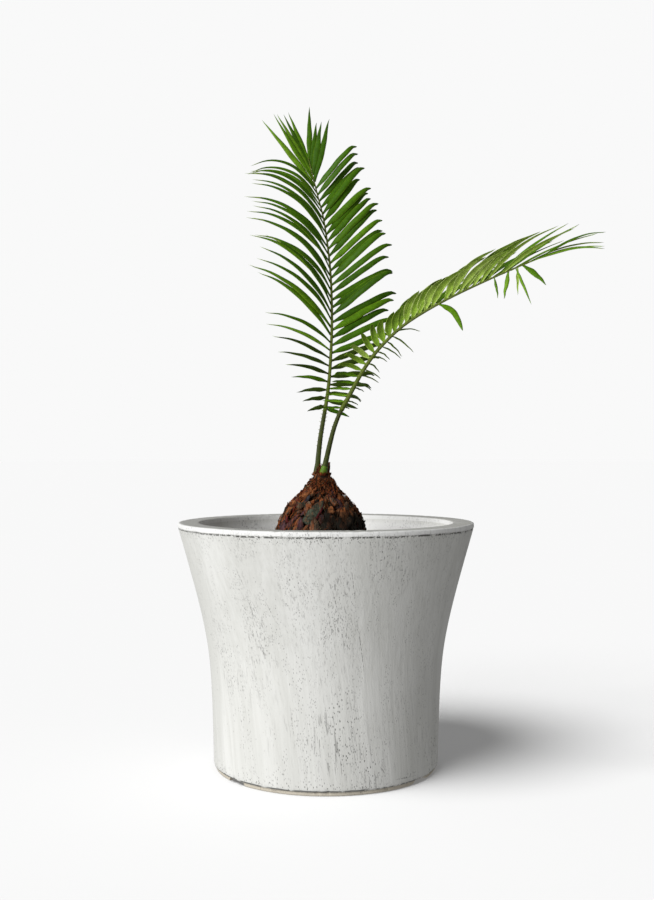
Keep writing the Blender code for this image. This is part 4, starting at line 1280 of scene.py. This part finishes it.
def frond_leaflets(frond):
    """Every leaflet of a frond as (place, root, axes, hand, shape), in order from the lowest."""
    chance = random.Random(frond["seed"])
    path = frond["path"]
    for number in range(LEAFLET_PAIRS):
        for hand, side, offset in ((1, frond["right"], RIGHT_OFFSET), (-1, frond["left"], LEFT_OFFSET)):
            s = (number + offset) / LEAFLET_PAIRS
            reach = frond["start"] + (path.total - frond["start"]) * s
            axes = frond_axes(frond, reach, between(frond["roll"], s))
            shape = leaflet_shape(side, s, number, chance)
            outward = leaflet_direction(axes, hand, 90.0, shape["lift"])
            root = path.at(reach) + outward * (rib_radius(s) - ROOT_SINK)
            yield s, root, axes, hand, shape


# %% [markdown]
# The two fronds differ in their stations. The upright one shows its glossy upper face to the front. Its
# leaflets open wide at the foot and close to a tuft at the tip. The arching one is seen from its side and
# a little from below. Its near leaflets rise off the rib and bend over, and a few of them hang limp.

# %% Frond stations
UPRIGHT = {
    "word": "upright",
    "seed": 11,
    "colour_seed": 101,
    "start": 0.065,
    "path": Path((
        (-0.0092, 0.0036, 0.2965),
        (-0.0060, 0.0100, 0.3310),
        (0.0018, 0.0180, 0.3800),
        (0.0050, 0.0290, 0.4200),
        (0.0062, 0.0430, 0.4640),
        (0.0044, 0.0610, 0.5150),
        (-0.0020, 0.0790, 0.5680),
        (-0.0095, 0.0940, 0.6020),
        (-0.0202, 0.1120, 0.6480),
    )),
    "facing": Vector((0.0, -1.0, 0.0)),
    "roll": {0: 4, 0.3: 16, 0.75: 20, 1: 8},
    "left": {
        "opening": {0: 118, 0.05: 103, 0.08: 94, 0.14: 81, 0.2: 68, 0.26: 71, 0.27: 52, 0.5: 47,
                    0.86: 42, 0.87: 27, 1: 6},
        "lift": {0: 5, 0.15: 20, 0.3: 34, 0.86: 38, 0.87: 20, 1: 10},
        "fall": {0: 5, 0.15: 30, 0.3: 58, 0.86: 66, 0.87: 20, 1: 10},
        "spread": {0: 10, 0.15: 12, 0.3: 20, 0.5: 28, 0.7: 40, 0.86: 74, 0.87: -3, 1: 0},
        "length": {0: 0.015, 0.08: 0.034, 0.14: 0.05, 0.2: 0.068, 0.23: 0.084, 0.26: 0.088,
                   0.27: 0.108, 0.5: 0.112, 0.75: 0.102, 0.86: 0.086, 0.87: 0.1, 0.97: 0.07, 1: 0.066},
        "sag": {0: 0.2, 0.3: 0.1, 0.86: 0.08, 0.87: 0, 1: 0},
        "late": 1,
        "twist": 0,
        "loose": {0: 1, 0.3: 1.6, 0.86: 1.6, 0.87: 1},
        "gaps": (-0.5, 2.5, 4.5, 6.5, 8.5, 11.5, 15.5, 18.5, 21.5, 25.5, 29.5),
        "bunch": {0: 2, 0.3: 3, 0.4: 1.2, 0.6: 1, 0.7: 0},
        "width": {0: 0.75, 0.15: 0.8, 0.26: 0.8, 0.27: 1.1, 0.6: 1.1, 0.86: 0.95, 0.87: 1.45, 1: 1.2},
        "foot": {0: 0.2, 0.25: 0.4, 0.5: 0.38, 0.86: 0.26, 0.87: 0.46},
        "tip": {0: 3, 0.2: 2.2, 1: 1.8},
        "hanging": {},
    },
    "right": {
        "opening": {0: 94, 0.08: 84, 0.16: 66, 0.24: 58, 0.45: 56, 0.56: 48, 0.78: 48, 0.88: 58,
                    0.89: 26, 1: 10},
        "lift": {0: 0, 0.2: 12, 0.4: 26, 0.88: 28, 0.89: 16, 1: 8},
        "fall": {0: 10, 0.2: 30, 0.4: 70, 0.88: 76, 0.89: 15, 1: 10},
        "spread": {0: 14, 0.2: 2, 0.88: 0},
        "length": {0: 0.024, 0.08: 0.042, 0.16: 0.06, 0.3: 0.083, 0.42: 0.083, 0.55: 0.08, 0.78: 0.078,
                   0.88: 0.067, 0.89: 0.084, 0.96: 0.06, 1: 0.086},
        "sag": {0: 0.12, 0.3: 0.03, 1: 0},
        "late": 3.5,
        "twist": 0,
        "loose": {0: 1, 0.3: 1.6, 0.88: 1.6, 0.89: 1},
        "gaps": (-0.5, 2.5, 4.5, 7.5, 8.5, 11.5, 14.5, 16.5, 19.5, 21.5, 24.5, 27.5, 30.5),
        "bunch": {0: 1, 0.3: 1.8, 0.45: 2.2, 0.88: 2.2, 0.89: 0},
        "width": {0: 0.75, 0.15: 0.95, 0.25: 1.15, 0.5: 1.15, 0.88: 1.05, 0.89: 1.5, 1: 1.2},
        "foot": {0: 0.2, 0.88: 0.22, 0.89: 0.5},
        "tip": {0: 3.5, 0.15: 9, 0.88: 12, 0.89: 1.8},
        "hanging": {},
    },
}
ARCHING = {
    "word": "arching",
    "seed": 42,
    "colour_seed": 102,
    "start": 0.068,
    "path": Path((
        (-0.0030, -0.0055, 0.2965),
        (0.0092, -0.0140, 0.3455),
        (0.0240, -0.0240, 0.3760),
        (0.0400, -0.0340, 0.4040),
        (0.0560, -0.0430, 0.4240),
        (0.0790, -0.0530, 0.4440),
        (0.1140, -0.0650, 0.4640),
        (0.1560, -0.0770, 0.4830),
        (0.2040, -0.0900, 0.5025),
    )),
    "facing": Vector((0.0, 0.0, 1.0)),
    "roll": {0: -16, 0.15: -12, 0.45: -8, 0.6: -2, 1: 0},
    "right": {
        "opening": {0: 112, 0.1: 108, 0.2: 94, 0.27: 78, 0.35: 54, 0.5: 46, 0.6: 42, 0.7: 38, 0.8: 31,
                    0.9: 20, 1: 12},
        "lift": {0: 44, 0.1: 42, 0.2: 50, 0.3: 60, 0.45: 62, 0.7: 58, 0.85: 40, 0.92: 10, 1: -20},
        "fall": {0: 20, 0.12: 50, 0.2: 70, 0.45: 66, 0.6: 56, 0.8: 40, 1: 0},
        "spread": {0: 8, 0.2: -10, 0.3: -36, 0.4: -54, 0.6: -54, 0.7: -48, 0.8: -36, 0.9: -14, 1: 0},
        "length": {0: 0.022, 0.1: 0.026, 0.2: 0.03, 0.27: 0.03, 0.35: 0.03, 0.45: 0.04, 0.55: 0.053,
                   0.65: 0.066, 0.8: 0.087, 1: 0.066},
        "sag": {0: 0.15, 0.5: 0.15, 0.85: 0.1, 1: 0.7},
        "late": {0: 0.9, 0.5: 1.2},
        "twist": 0,
        "loose": {0: 1.2, 0.75: 1.4, 1: 4},
        "gaps": (-0.5, 1.5, 3.5, 5.5, 8.5, 11.5, 15.5, 18.5, 22.5, 25.5, 28.5, 31.5, 34.5),
        "bunch": {0: 2, 0.3: 1, 1: 1},
        "width": {0: 0.5, 0.14: 0.6, 0.22: 0.85, 0.35: 1.1, 0.6: 1.1, 0.8: 0.85, 1: 0.65},
        "foot": {0: 0.2, 0.5: 0.26, 1: 0.45},
        "tip": {0: 3, 0.2: 6, 0.6: 4.9, 0.8: 2.2, 1: 1.7},
        "hanging": {
            20: (60, 8, -42, 0, 1.5, 0.054, 0.8),
            28: (98, 0, -72, 0, 0.5, 0.023, 0.4),
            30: (118, 0, -72, 0, 0.5, 0.029, 0.65),
            31: (86, 0, -68, 0, 0.3, 0.044, 0.4),
            32: (64, 0, -54, 0, 0.5, 0.038, 0.8),
        },
    },
    "left": {
        "opening": {0: 100, 0.2: 94, 0.38: 90, 0.4: 52, 0.6: 38, 0.7: 33, 0.85: 23, 1: 14},
        "lift": {0: 24, 0.2: 18, 0.38: 8, 0.4: 40, 0.75: 42, 0.85: 50, 1: 16},
        "fall": {0: 12, 0.3: 16, 0.45: 30, 0.8: 30, 1: 20},
        "spread": {0: 6, 0.38: 6, 0.4: -20, 0.8: -20, 1: 0},
        "length": {0: 0.02, 0.1: 0.028, 0.2: 0.044, 0.38: 0.042, 0.4: 0.038, 0.6: 0.058, 0.75: 0.08,
                   0.85: 0.092, 1: 0.068},
        "sag": {0: 0.1, 0.2: 0.35, 0.38: 0.35, 0.4: 0.1, 0.85: 0.1, 1: 0.7},
        "late": 1.2,
        "twist": {0: -60, 0.35: -50, 0.6: 0},
        "loose": {0: 1.2, 0.75: 1.4, 1: 4},
        "gaps": (-0.5, 0.5, 2.5, 4.5, 7.5, 9.5, 11.5, 13.5, 17.5, 21.5, 25.5, 29.5, 34.5),
        "bunch": {0: 5, 0.38: 5, 0.4: 1},
        "width": {0: 0.5, 0.38: 0.55, 0.5: 0.9, 0.8: 0.8, 1: 0.6},
        "foot": {0: 0.25, 1: 0.45},
        "tip": {0: 2.2, 1: 1.7},
        "hanging": {
            31: (112, 0, -75, 0, 0.5, 0.027, 0.4),
        },
    },
}

# %% [markdown]
# A leaflet is a stiff, narrow blade with its edges rolled under and a groove down the middle, over the
# one vein. Across, each ring has nine points on the glossy upper face and six on the pale underside, so
# that light runs along the curve. It starts in a narrow foot and ends in a fine tip.

# %% Leaflet blade
BLADE_RINGS = 18
HEADING_STEP = 0.01
WAVE = 0.0007
BLUNTEST = 6.0
HOOKED_TIP = 5.0
BLADE_THICKNESS = 0.00042
BLADE_FOLD = 0.0011
EDGE_ROLL = 0.0003
END_HOOK = 0.0040
HOOK_AHEAD = 0.0014
HOOK_ASIDE = 0.0008
GROOVE = 0.00016
UPPER_PLACES = (-1.0, -0.86, -0.52, -0.13, 0.0, 0.13, 0.52, 0.86, 1.0)
UNDER_PLACES = (0.90, 0.68, 0.10, -0.10, -0.68, -0.90)
BLADE_FACES = ((UPPER_PLACES, 0.0), (UNDER_PLACES, BLADE_THICKNESS))
UPPER_RIMS = (0, 7)
UNDER_RIMS = (8, 9, 13, 14)


def leaflet_width(u, shape):
    """Width along the blade as a share of its widest: a narrow foot, then a blunt or a long tip."""
    foot = blend(FOOT_WIDTH, 1.0, soft_step(u, 0.0, shape["foot"]))
    return foot * (1.0 - u ** min(shape["tip"], BLUNTEST)) ** 0.9


def blade_height(v):
    """Height of the upper face across the blade, from the groove to the rolled edge."""
    groove = GROOVE * math.exp(-(v / 0.10) ** 2)
    return -BLADE_FOLD * abs(v) ** 1.7 - EDGE_ROLL * soft_step(abs(v), 0.80, 1.0) - groove


def add_leaflet(form, root, axes, hand, shape, look):
    """One closed leaflet.

    Look is the finish of its upper face, its underside and its tip, the share of its length at which the
    tip's finish starts, and how wide it is beside the solid's, at its foot and at its tip.
    """
    upper_finish, under_finish, tip_finish, tip_start, finer = look
    course = leaflet_course(root, axes, hand, shape)
    rings = []
    for i in range(BLADE_RINGS):
        u = i / BLADE_RINGS
        centre = on_curve(course, u)
        behind = on_curve(course, max(u - HEADING_STEP, 0.0))
        heading = (on_curve(course, u + HEADING_STEP) - behind).normalized()
        flat = across_leaflet(axes, hand, shape, u, heading)
        across = swing(flat, heading.cross(flat) * hand, shape["twist"])
        normal = heading.cross(across) * hand
        share = leaflet_width(u, shape)
        half = LEAFLET_WIDTH * shape["width"] * share * blend(*finer, u) / 2
        waver = noise.noise(root * 900.0 + Vector((0.0, 0.0, u * 5.0)))
        centre += flat * (WAVE * waver * soft_step(u, 0.0, 0.3))
        if shape["tip"] > HOOKED_TIP:
            centre -= (flat + normal * 0.5) * END_HOOK * soft_step(u, 0.86, 1.04)
        deep = 0.35 + 0.65 * share
        rings.append([centre + across * (v * half) + normal * ((blade_height(v) - drop) * deep)
                      for places, drop in BLADE_FACES for v in places])

    def pick(row, column):
        if row / BLADE_RINGS >= tip_start:
            return tip_finish
        # Painted highlights: the outermost strips of a blade take lighter edge greens.
        if column in UPPER_RIMS:
            return UPPER_EDGE_HIGHLIGHT
        if column in UNDER_RIMS and upper_finish != under_finish:
            return UNDER_EDGE_HIGHLIGHT if under_finish != DARK_UNDER else len(UPPER_GREENS)
        return upper_finish if column < len(UPPER_PLACES) - 1 else under_finish

    end = course[-1]
    if shape["tip"] > HOOKED_TIP:
        end = centre + heading * HOOK_AHEAD - flat * HOOK_ASIDE
    form.loft(rings, pick, end=end)


# %% [markdown]
# The stalks and ribs are tapering stems. A stalk is bare but for short spines, in two rows, that are
# leaflets which never grew. The rib carries the leaflets, and each of them stands on a small pale swelling.

# %% Stems
STALK_STEPS = 44
RIB_STEPS = 120
FOOT_ROWS = 5
SPINE_PAIRS = 11
SPINE_RADIUS = 0.00062
SPINE_OPENING = 62.0
SPINE_LIFT = 18.0
FOOT_SWELL = 0.0011
STALK_GROOVE = 0.22
RIB_GROOVE = 0.30
STALK_SIDES = 14
RIB_SIDES = 12
# The swelling under a leaflet: its direction in degrees, its reach and its sizes in metres, and its shape.
LUMP_OPENING = 75.0
LUMP_OUT = 0.0005
LUMP_SIZES = (0.00105, 0.0006)
LUMP_LENGTH = 1.35
LUMP_RING = 7


def add_lumped_foot(form, centre, along, outward, size, finish):
    """The swelling under a leaflet: a small ball drawn out along the rib."""
    normal = along.cross(outward)
    rings = []
    for level in (-0.7, 0.0, 0.7):
        girth = math.sqrt(1.0 - level * level) * size
        middle = centre + outward * (level * size)
        rings.append([middle + (along * math.cos(angle) * LUMP_LENGTH + normal * math.sin(angle)) * girth
                      for angle in turns(LUMP_RING)])
    form.loft(rings, finish, start=centre - outward * size, end=centre + outward * size)


def stem_rings(frond, start, end, steps, radius_at, groove, sides):
    """Rings of a stem between two lengths, with a shallow groove along its upper side."""
    rings = []
    for i in range(steps + 1):
        length = blend(start, end, i / steps)
        _, upper, side = frond_axes(frond, length)
        centre = frond["path"].at(length)
        ring = []
        for angle in turns(sides):
            dip = 1.0 - groove * max(math.cos(angle), 0.0) ** 6
            rough = 1.0 + 0.05 * noise.noise(centre * 300.0 + upper * angle)
            ring.append(about(centre, upper, side, angle, radius_at(i / steps) * dip * rough))
        rings.append(ring)
    return rings


def make_stalk(frond):
    """The bare stalk with its swollen foot and its spines."""
    chance = random.Random(frond["colour_seed"])
    start = frond["start"]
    form = Form()

    def radius_at(share):
        swollen = FOOT_SWELL * math.exp(-(share / 0.10) ** 2)
        return blend(STALK_RADIUS, BLADE_START_RADIUS, share) + swollen

    rings = stem_rings(frond, 0.0, start, STALK_STEPS, radius_at, STALK_GROOVE, STALK_SIDES)
    form.loft(rings, lambda row, column: 1 if row < FOOT_ROWS else 0)
    for number in range(SPINE_PAIRS):
        for hand, offset in ((1, 0.25), (-1, 0.75)):
            place = start * blend(0.30, 1.0, (number + offset) / SPINE_PAIRS)
            outward = leaflet_direction(frond_axes(frond, place), hand, SPINE_OPENING, SPINE_LIFT)
            size = blend(0.0010, 0.0030, place / start) * chance.uniform(0.7, 1.2)
            root = frond["path"].at(place) + outward * (radius_at(place / start) * 0.6)
            rings = [tube_ring(root + outward * size * step, outward, SPINE_RADIUS * (1.0 - 0.7 * step), 6)
                     for step in (0.0, 0.35, 0.7)]
            form.loft(rings, 2, end=root + outward * size * 1.3)
    solid = "stalk_" + frond["word"]
    return form.piece("stalk_skin_" + frond["word"], frond["stalk_finishes"], (solid,))


def make_rib(frond):
    """The rib of one frond with the swellings under its leaflets."""
    form = Form()

    def radius_at(share):
        return rib_radius(share) * frond["rib_girth"]

    end = frond["path"].total
    form.loft(stem_rings(frond, frond["start"], end, RIB_STEPS, radius_at, RIB_GROOVE, RIB_SIDES))
    for s, root, axes, hand, shape in frond_leaflets(frond):
        outward = leaflet_direction(axes, hand, LUMP_OPENING, shape["lift"])
        add_lumped_foot(form, root + outward * LUMP_OUT, axes[0], outward, blend(*LUMP_SIZES, s), 1)
    return form.piece("rib_" + frond["word"], frond["rib_finishes"])


# %% [markdown]
# Leaf colours. The upper face is dark and a little waxy. The underside is paler and matt. Greens vary
# from leaflet to leaflet, so there are several of each, dealt out leaflet by leaflet with other odds on
# each side of each frond: a pattern with a fixed place would not survive on so many small blades.

# %% Leaf finishes
def make_leaf(name, colour, roughness, gloss):
    """A leaf face: fine lengthwise mottling over one green."""
    position, dress = new_finish(name)
    mottle = position.stretched(160).cloud(3.0, 0.6)
    fine = position.stretched(700).cloud(2.0)
    light = paint(*[min(value * 1.10 + 2, 255) for value in colour])
    dark = paint(*[value * 0.90 for value in colour])
    tone = (mottle * 0.5 + fine * 0.5).rise(0.36, 0.66).mix(dark, light)
    return dress(colour=tone, roughness=fine * 0.12 + roughness, gloss=gloss,
                 normal=fine.bump(0.10, 0.0003))


UPPER_GREENS = ((60, 98, 2), (68, 106, 4), (80, 120, 10), (52, 88, 2), (98, 138, 24), (44, 62, 6))
UNDER_GREENS = ((134, 164, 56), (146, 174, 70), (124, 156, 46), (104, 136, 34))
# The last of each is the dark one, for the foot of a frond. The finishes of ends and edges follow them; the
# edge ones are lighter greens, painted highlights along the rims of the blades.
DARK_UPPER = len(UPPER_GREENS) - 1
DARK_UNDER = len(UPPER_GREENS) + len(UNDER_GREENS) - 1
TIP = DARK_UNDER + 1
UPPER_EDGE_HIGHLIGHT = TIP + 1
UNDER_EDGE_HIGHLIGHT = TIP + 2

leaf_finishes = [make_leaf(f"leaf_upper_{i}", colour, 0.40, 0.14) for i, colour in enumerate(UPPER_GREENS)]
leaf_finishes += [make_leaf(f"leaf_under_{i}", colour, 0.55, 0.14) for i, colour in enumerate(UNDER_GREENS)]
leaf_finishes += [
    make_leaf("leaf_tip", (126, 150, 62), 0.5, 0.2),
    # Lighter greens for the rims of the blades: painted highlights.
    make_leaf("leaf_edge_highlight", (104, 130, 26), 0.5, 0.15),
    make_leaf("leaf_under_edge_highlight", (166, 188, 98), 0.5, 0.15),
]
STALK_GREEN = make_leaf("stalk_green", (60, 68, 24), 0.48, 0.20)
STALK_FOOT = make_leaf("stalk_foot", (84, 118, 14), 0.48, 0.35)
SPINE = make_leaf("stalk_spine", (128, 134, 76), 0.5, 0.4)
RIB_GREEN = make_leaf("rib_green", (84, 98, 28), 0.48, 0.20)
FOOT_YELLOW = make_leaf("leaflet_foot", (138, 146, 64), 0.55, 0.3)
FOOT_BROWN = make_leaf("leaflet_foot_dark", (74, 74, 28), 0.55, 0.3)

# What a finer frond has of its own, on the right (1) and on the left (-1) where the sides differ: how often
# each upper green comes up, how wide the blades are beside the solid's by the place along the frond, the
# share of that width at a blade's foot and tip, how thick the rib is beside the solid's, and up to which
# place and how often its leaflets are dark.
UPRIGHT.update({
    "greens": {1: (4, 1.5, 0.3, 5, 0.1), -1: (3, 3, 2, 2, 0.7)},
    "finer": {1: {0: 0.80, 0.12: 0.84, 0.2: 0.92, 0.88: 0.92, 0.89: 0.95},
              -1: {0: 0.80, 0.15: 0.86, 0.3: 0.92, 0.86: 0.82, 0.87: 0.95}},
    "ends": {1: (1.08, 1.00), -1: (1.26, 0.72)},
    "rib_girth": 1.0,
    "dark_upper": (0.20, 0.75),
    "dark_under": (0.0, 0.0),
    "stalk_finishes": [STALK_GREEN, STALK_GREEN, SPINE],
    "rib_finishes": [RIB_GREEN, FOOT_BROWN],
})
ARCHING.update({
    "greens": {1: (0.5, 1, 4, 0.2, 4), -1: (2, 3, 3, 2, 1)},
    "finer": {1: {0: 0.78, 0.2: 0.88, 0.4: 1.04, 0.8: 1.02, 1: 1.3},
              -1: {0: 0.8, 0.6: 0.9, 1: 1.3}},
    "ends": {1: (1.04, 0.98), -1: (1.04, 0.98)},
    "rib_girth": 1.25,
    "dark_upper": (0.0, 0.0),
    "dark_under": (0.42, 0.8),
    "stalk_finishes": [STALK_GREEN, STALK_FOOT, SPINE],
    "rib_finishes": [RIB_GREEN, FOOT_YELLOW],
})

# Below this share of the frond both faces are the same green. A slender tip dries over its last part.
ONE_GREEN = 0.16
SLENDER = 2.5
SLENDER_UP_TO = 0.86
DRY_TIP = (0.80, 0.90)


def make_leaflets(frond):
    """All leaflets of one frond."""
    chance = random.Random(frond["colour_seed"])
    form = Form()
    for s, root, axes, hand, shape in frond_leaflets(frond):
        upper = chance.choices(range(5), frond["greens"][hand])[0]
        under = len(UPPER_GREENS) + chance.randrange(3)
        place, odds = frond["dark_upper"]
        if s < place and chance.random() < odds:
            upper = DARK_UPPER
        place, odds = frond["dark_under"]
        if s < place and chance.random() < odds:
            under = DARK_UNDER
        if s < ONE_GREEN:
            under = upper
        slender = shape["tip"] < SLENDER and s < SLENDER_UP_TO
        tip_start = chance.uniform(*DRY_TIP) if slender else 0.96
        finer = [between(frond["finer"][hand], s) * end for end in frond["ends"][hand]]
        add_leaflet(form, root, axes, hand, shape, (upper, under, TIP, tip_start, finer))
    solid = "frond_" + frond["word"]
    return form.piece("leaflets_" + frond["word"], leaf_finishes, (solid,))


# %% Fronds
for frond in (UPRIGHT, ARCHING):
    make_stalk(frond)
    make_rib(frond)
    make_leaflets(frond)
    print(frond["word"], "frond, length in mm:", round(frond["path"].total * 1000))

# %% [markdown]
# Round the foot of the stalks sits the crown: rusty wool, and the dry brown stub of a leaf that broke
# off behind the arching stalk. Two weak lights from below, on the leaves alone, stand for what a pale
# table throws back at them.

# %% Crown
STUB_FOOT = Vector((0.0006, 0.0040, TRUNK_HIGH.z - 0.004))
STUB_TIP = Vector((0.0026, 0.0060, TRUNK_HIGH.z + 0.0135))
STUB_RADIUS = 0.0026
STUB_SIDES = 9
STUB_STEPS = 8
CROWN_HAIRS = 1500
NECK_THREADS = 900
NECK_STEP = 0.0012
NECK_END = 0.965
HAIR_RADII = (0.00016, 0.00036)


def make_stub(finishes):
    """A broken, dried leaf stalk with a blunt, ragged end."""
    chance = random.Random(7)
    form = Form()
    rings = []
    along = (STUB_TIP - STUB_FOOT).normalized()
    for i in range(STUB_STEPS + 1):
        t = i / STUB_STEPS
        radius = STUB_RADIUS * (1.0 - 0.25 * t) * chance.uniform(0.9, 1.1)
        ring = tube_ring(STUB_FOOT.lerp(STUB_TIP, t), along, radius, STUB_SIDES)
        rings.append([point + along * chance.uniform(-0.0007, 0.0007) * t for point in ring])
    form.loft(rings, 0, end=STUB_TIP - along * 0.0012)
    return form.piece("dried_leaf_stub", finishes)


def make_wool(finishes):
    """Rusty hair that climbs the feet of the stalks and the stub, and lies over the crown."""
    chance = random.Random(29)
    form = Form()
    middle = TRUNK_AXIS + Vector((TRUNK_LEAN, 0.0, TRUNK_TALL))
    near_foot = ARCHING["path"].points[0]
    feet = (UPRIGHT["path"].points[0], near_foot, STUB_FOOT + Vector((0.0, 0.0, 0.004)))
    for number in range(CROWN_HAIRS):
        angle = chance.uniform(0.0, math.tau)
        outward = Vector((math.cos(angle), math.sin(angle), 0.0))
        finish = chance.choices((0, 1, 2, 3), (6.0, 0.4, 2.0, 1.6))[0]
        if number % 3:
            foot = feet[chance.randrange(3)]
            towards = (middle - foot).to_2d().to_3d()
            inner = outward.dot(towards.normalized())
            height = 0.0105 * max(inner, 0.0) * chance.uniform(0.0, 1.0)
            if foot == near_foot and outward.y < -0.2:
                height = chance.uniform(0.0, 0.0016)
            root = foot + outward * (STALK_RADIUS + chance.uniform(0.0000, 0.0014))
            lean = 0.06
            length = chance.uniform(0.0016, 0.0042)
        else:
            spread = chance.uniform(0.02, 0.56)
            root = middle + outward * (TRUNK_CROWN * math.sqrt(spread))
            height = -0.0030 * spread
            lean = 0.1
            length = chance.uniform(0.0015, 0.0042)
        root.z = middle.z - 0.0006 + height
        direction = (Vector((0.0, 0.0, 1.0)) + outward * lean).normalized()
        add_hair(form, root, direction, length, chance, finish, chance.uniform(*HAIR_RADII))
    for _ in range(NECK_THREADS):
        angle = chance.uniform(0.0, math.tau)
        share = chance.uniform(0.74, 0.955)
        swell = 0.0016 * soft_step(share, 0.84, 0.90)
        points = [on_trunk(angle, share, chance.uniform(-0.0016, 0.0002) + swell)]
        for _ in range(4):
            angle, share = beside_on_trunk(angle, share, chance.gauss(0.0, 0.0005), NECK_STEP)
            if share > NECK_END:
                break
            points.append(on_trunk(angle, share, chance.uniform(-0.0016, 0.0002) + swell))
        if len(points) > 2:
            finish = chance.choices((0, 1, 2, 3), (5.0, 0.6, 1.6, 2.8))[0]
            add_thread(form, points, chance.uniform(*HAIR_RADII), finish)
    return form.piece("crown_wool", finishes)


make_stub([bark_finishes[NEAR_BLACK]])
make_wool(thread_finishes)
leafy = [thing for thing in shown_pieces() if thing.name.startswith(("leaflets", "rib", "stalk_skin"))]
arching = [thing for thing in leafy if thing.name.endswith("arching")]
make_sun("reflector", REFLECTOR_PLACE, REFLECTOR_STRENGTH, "INCLUDE", leafy)
make_sun("under_fill", UNDER_FILL_PLACE, UNDER_FILL_STRENGTH, "INCLUDE", arching)
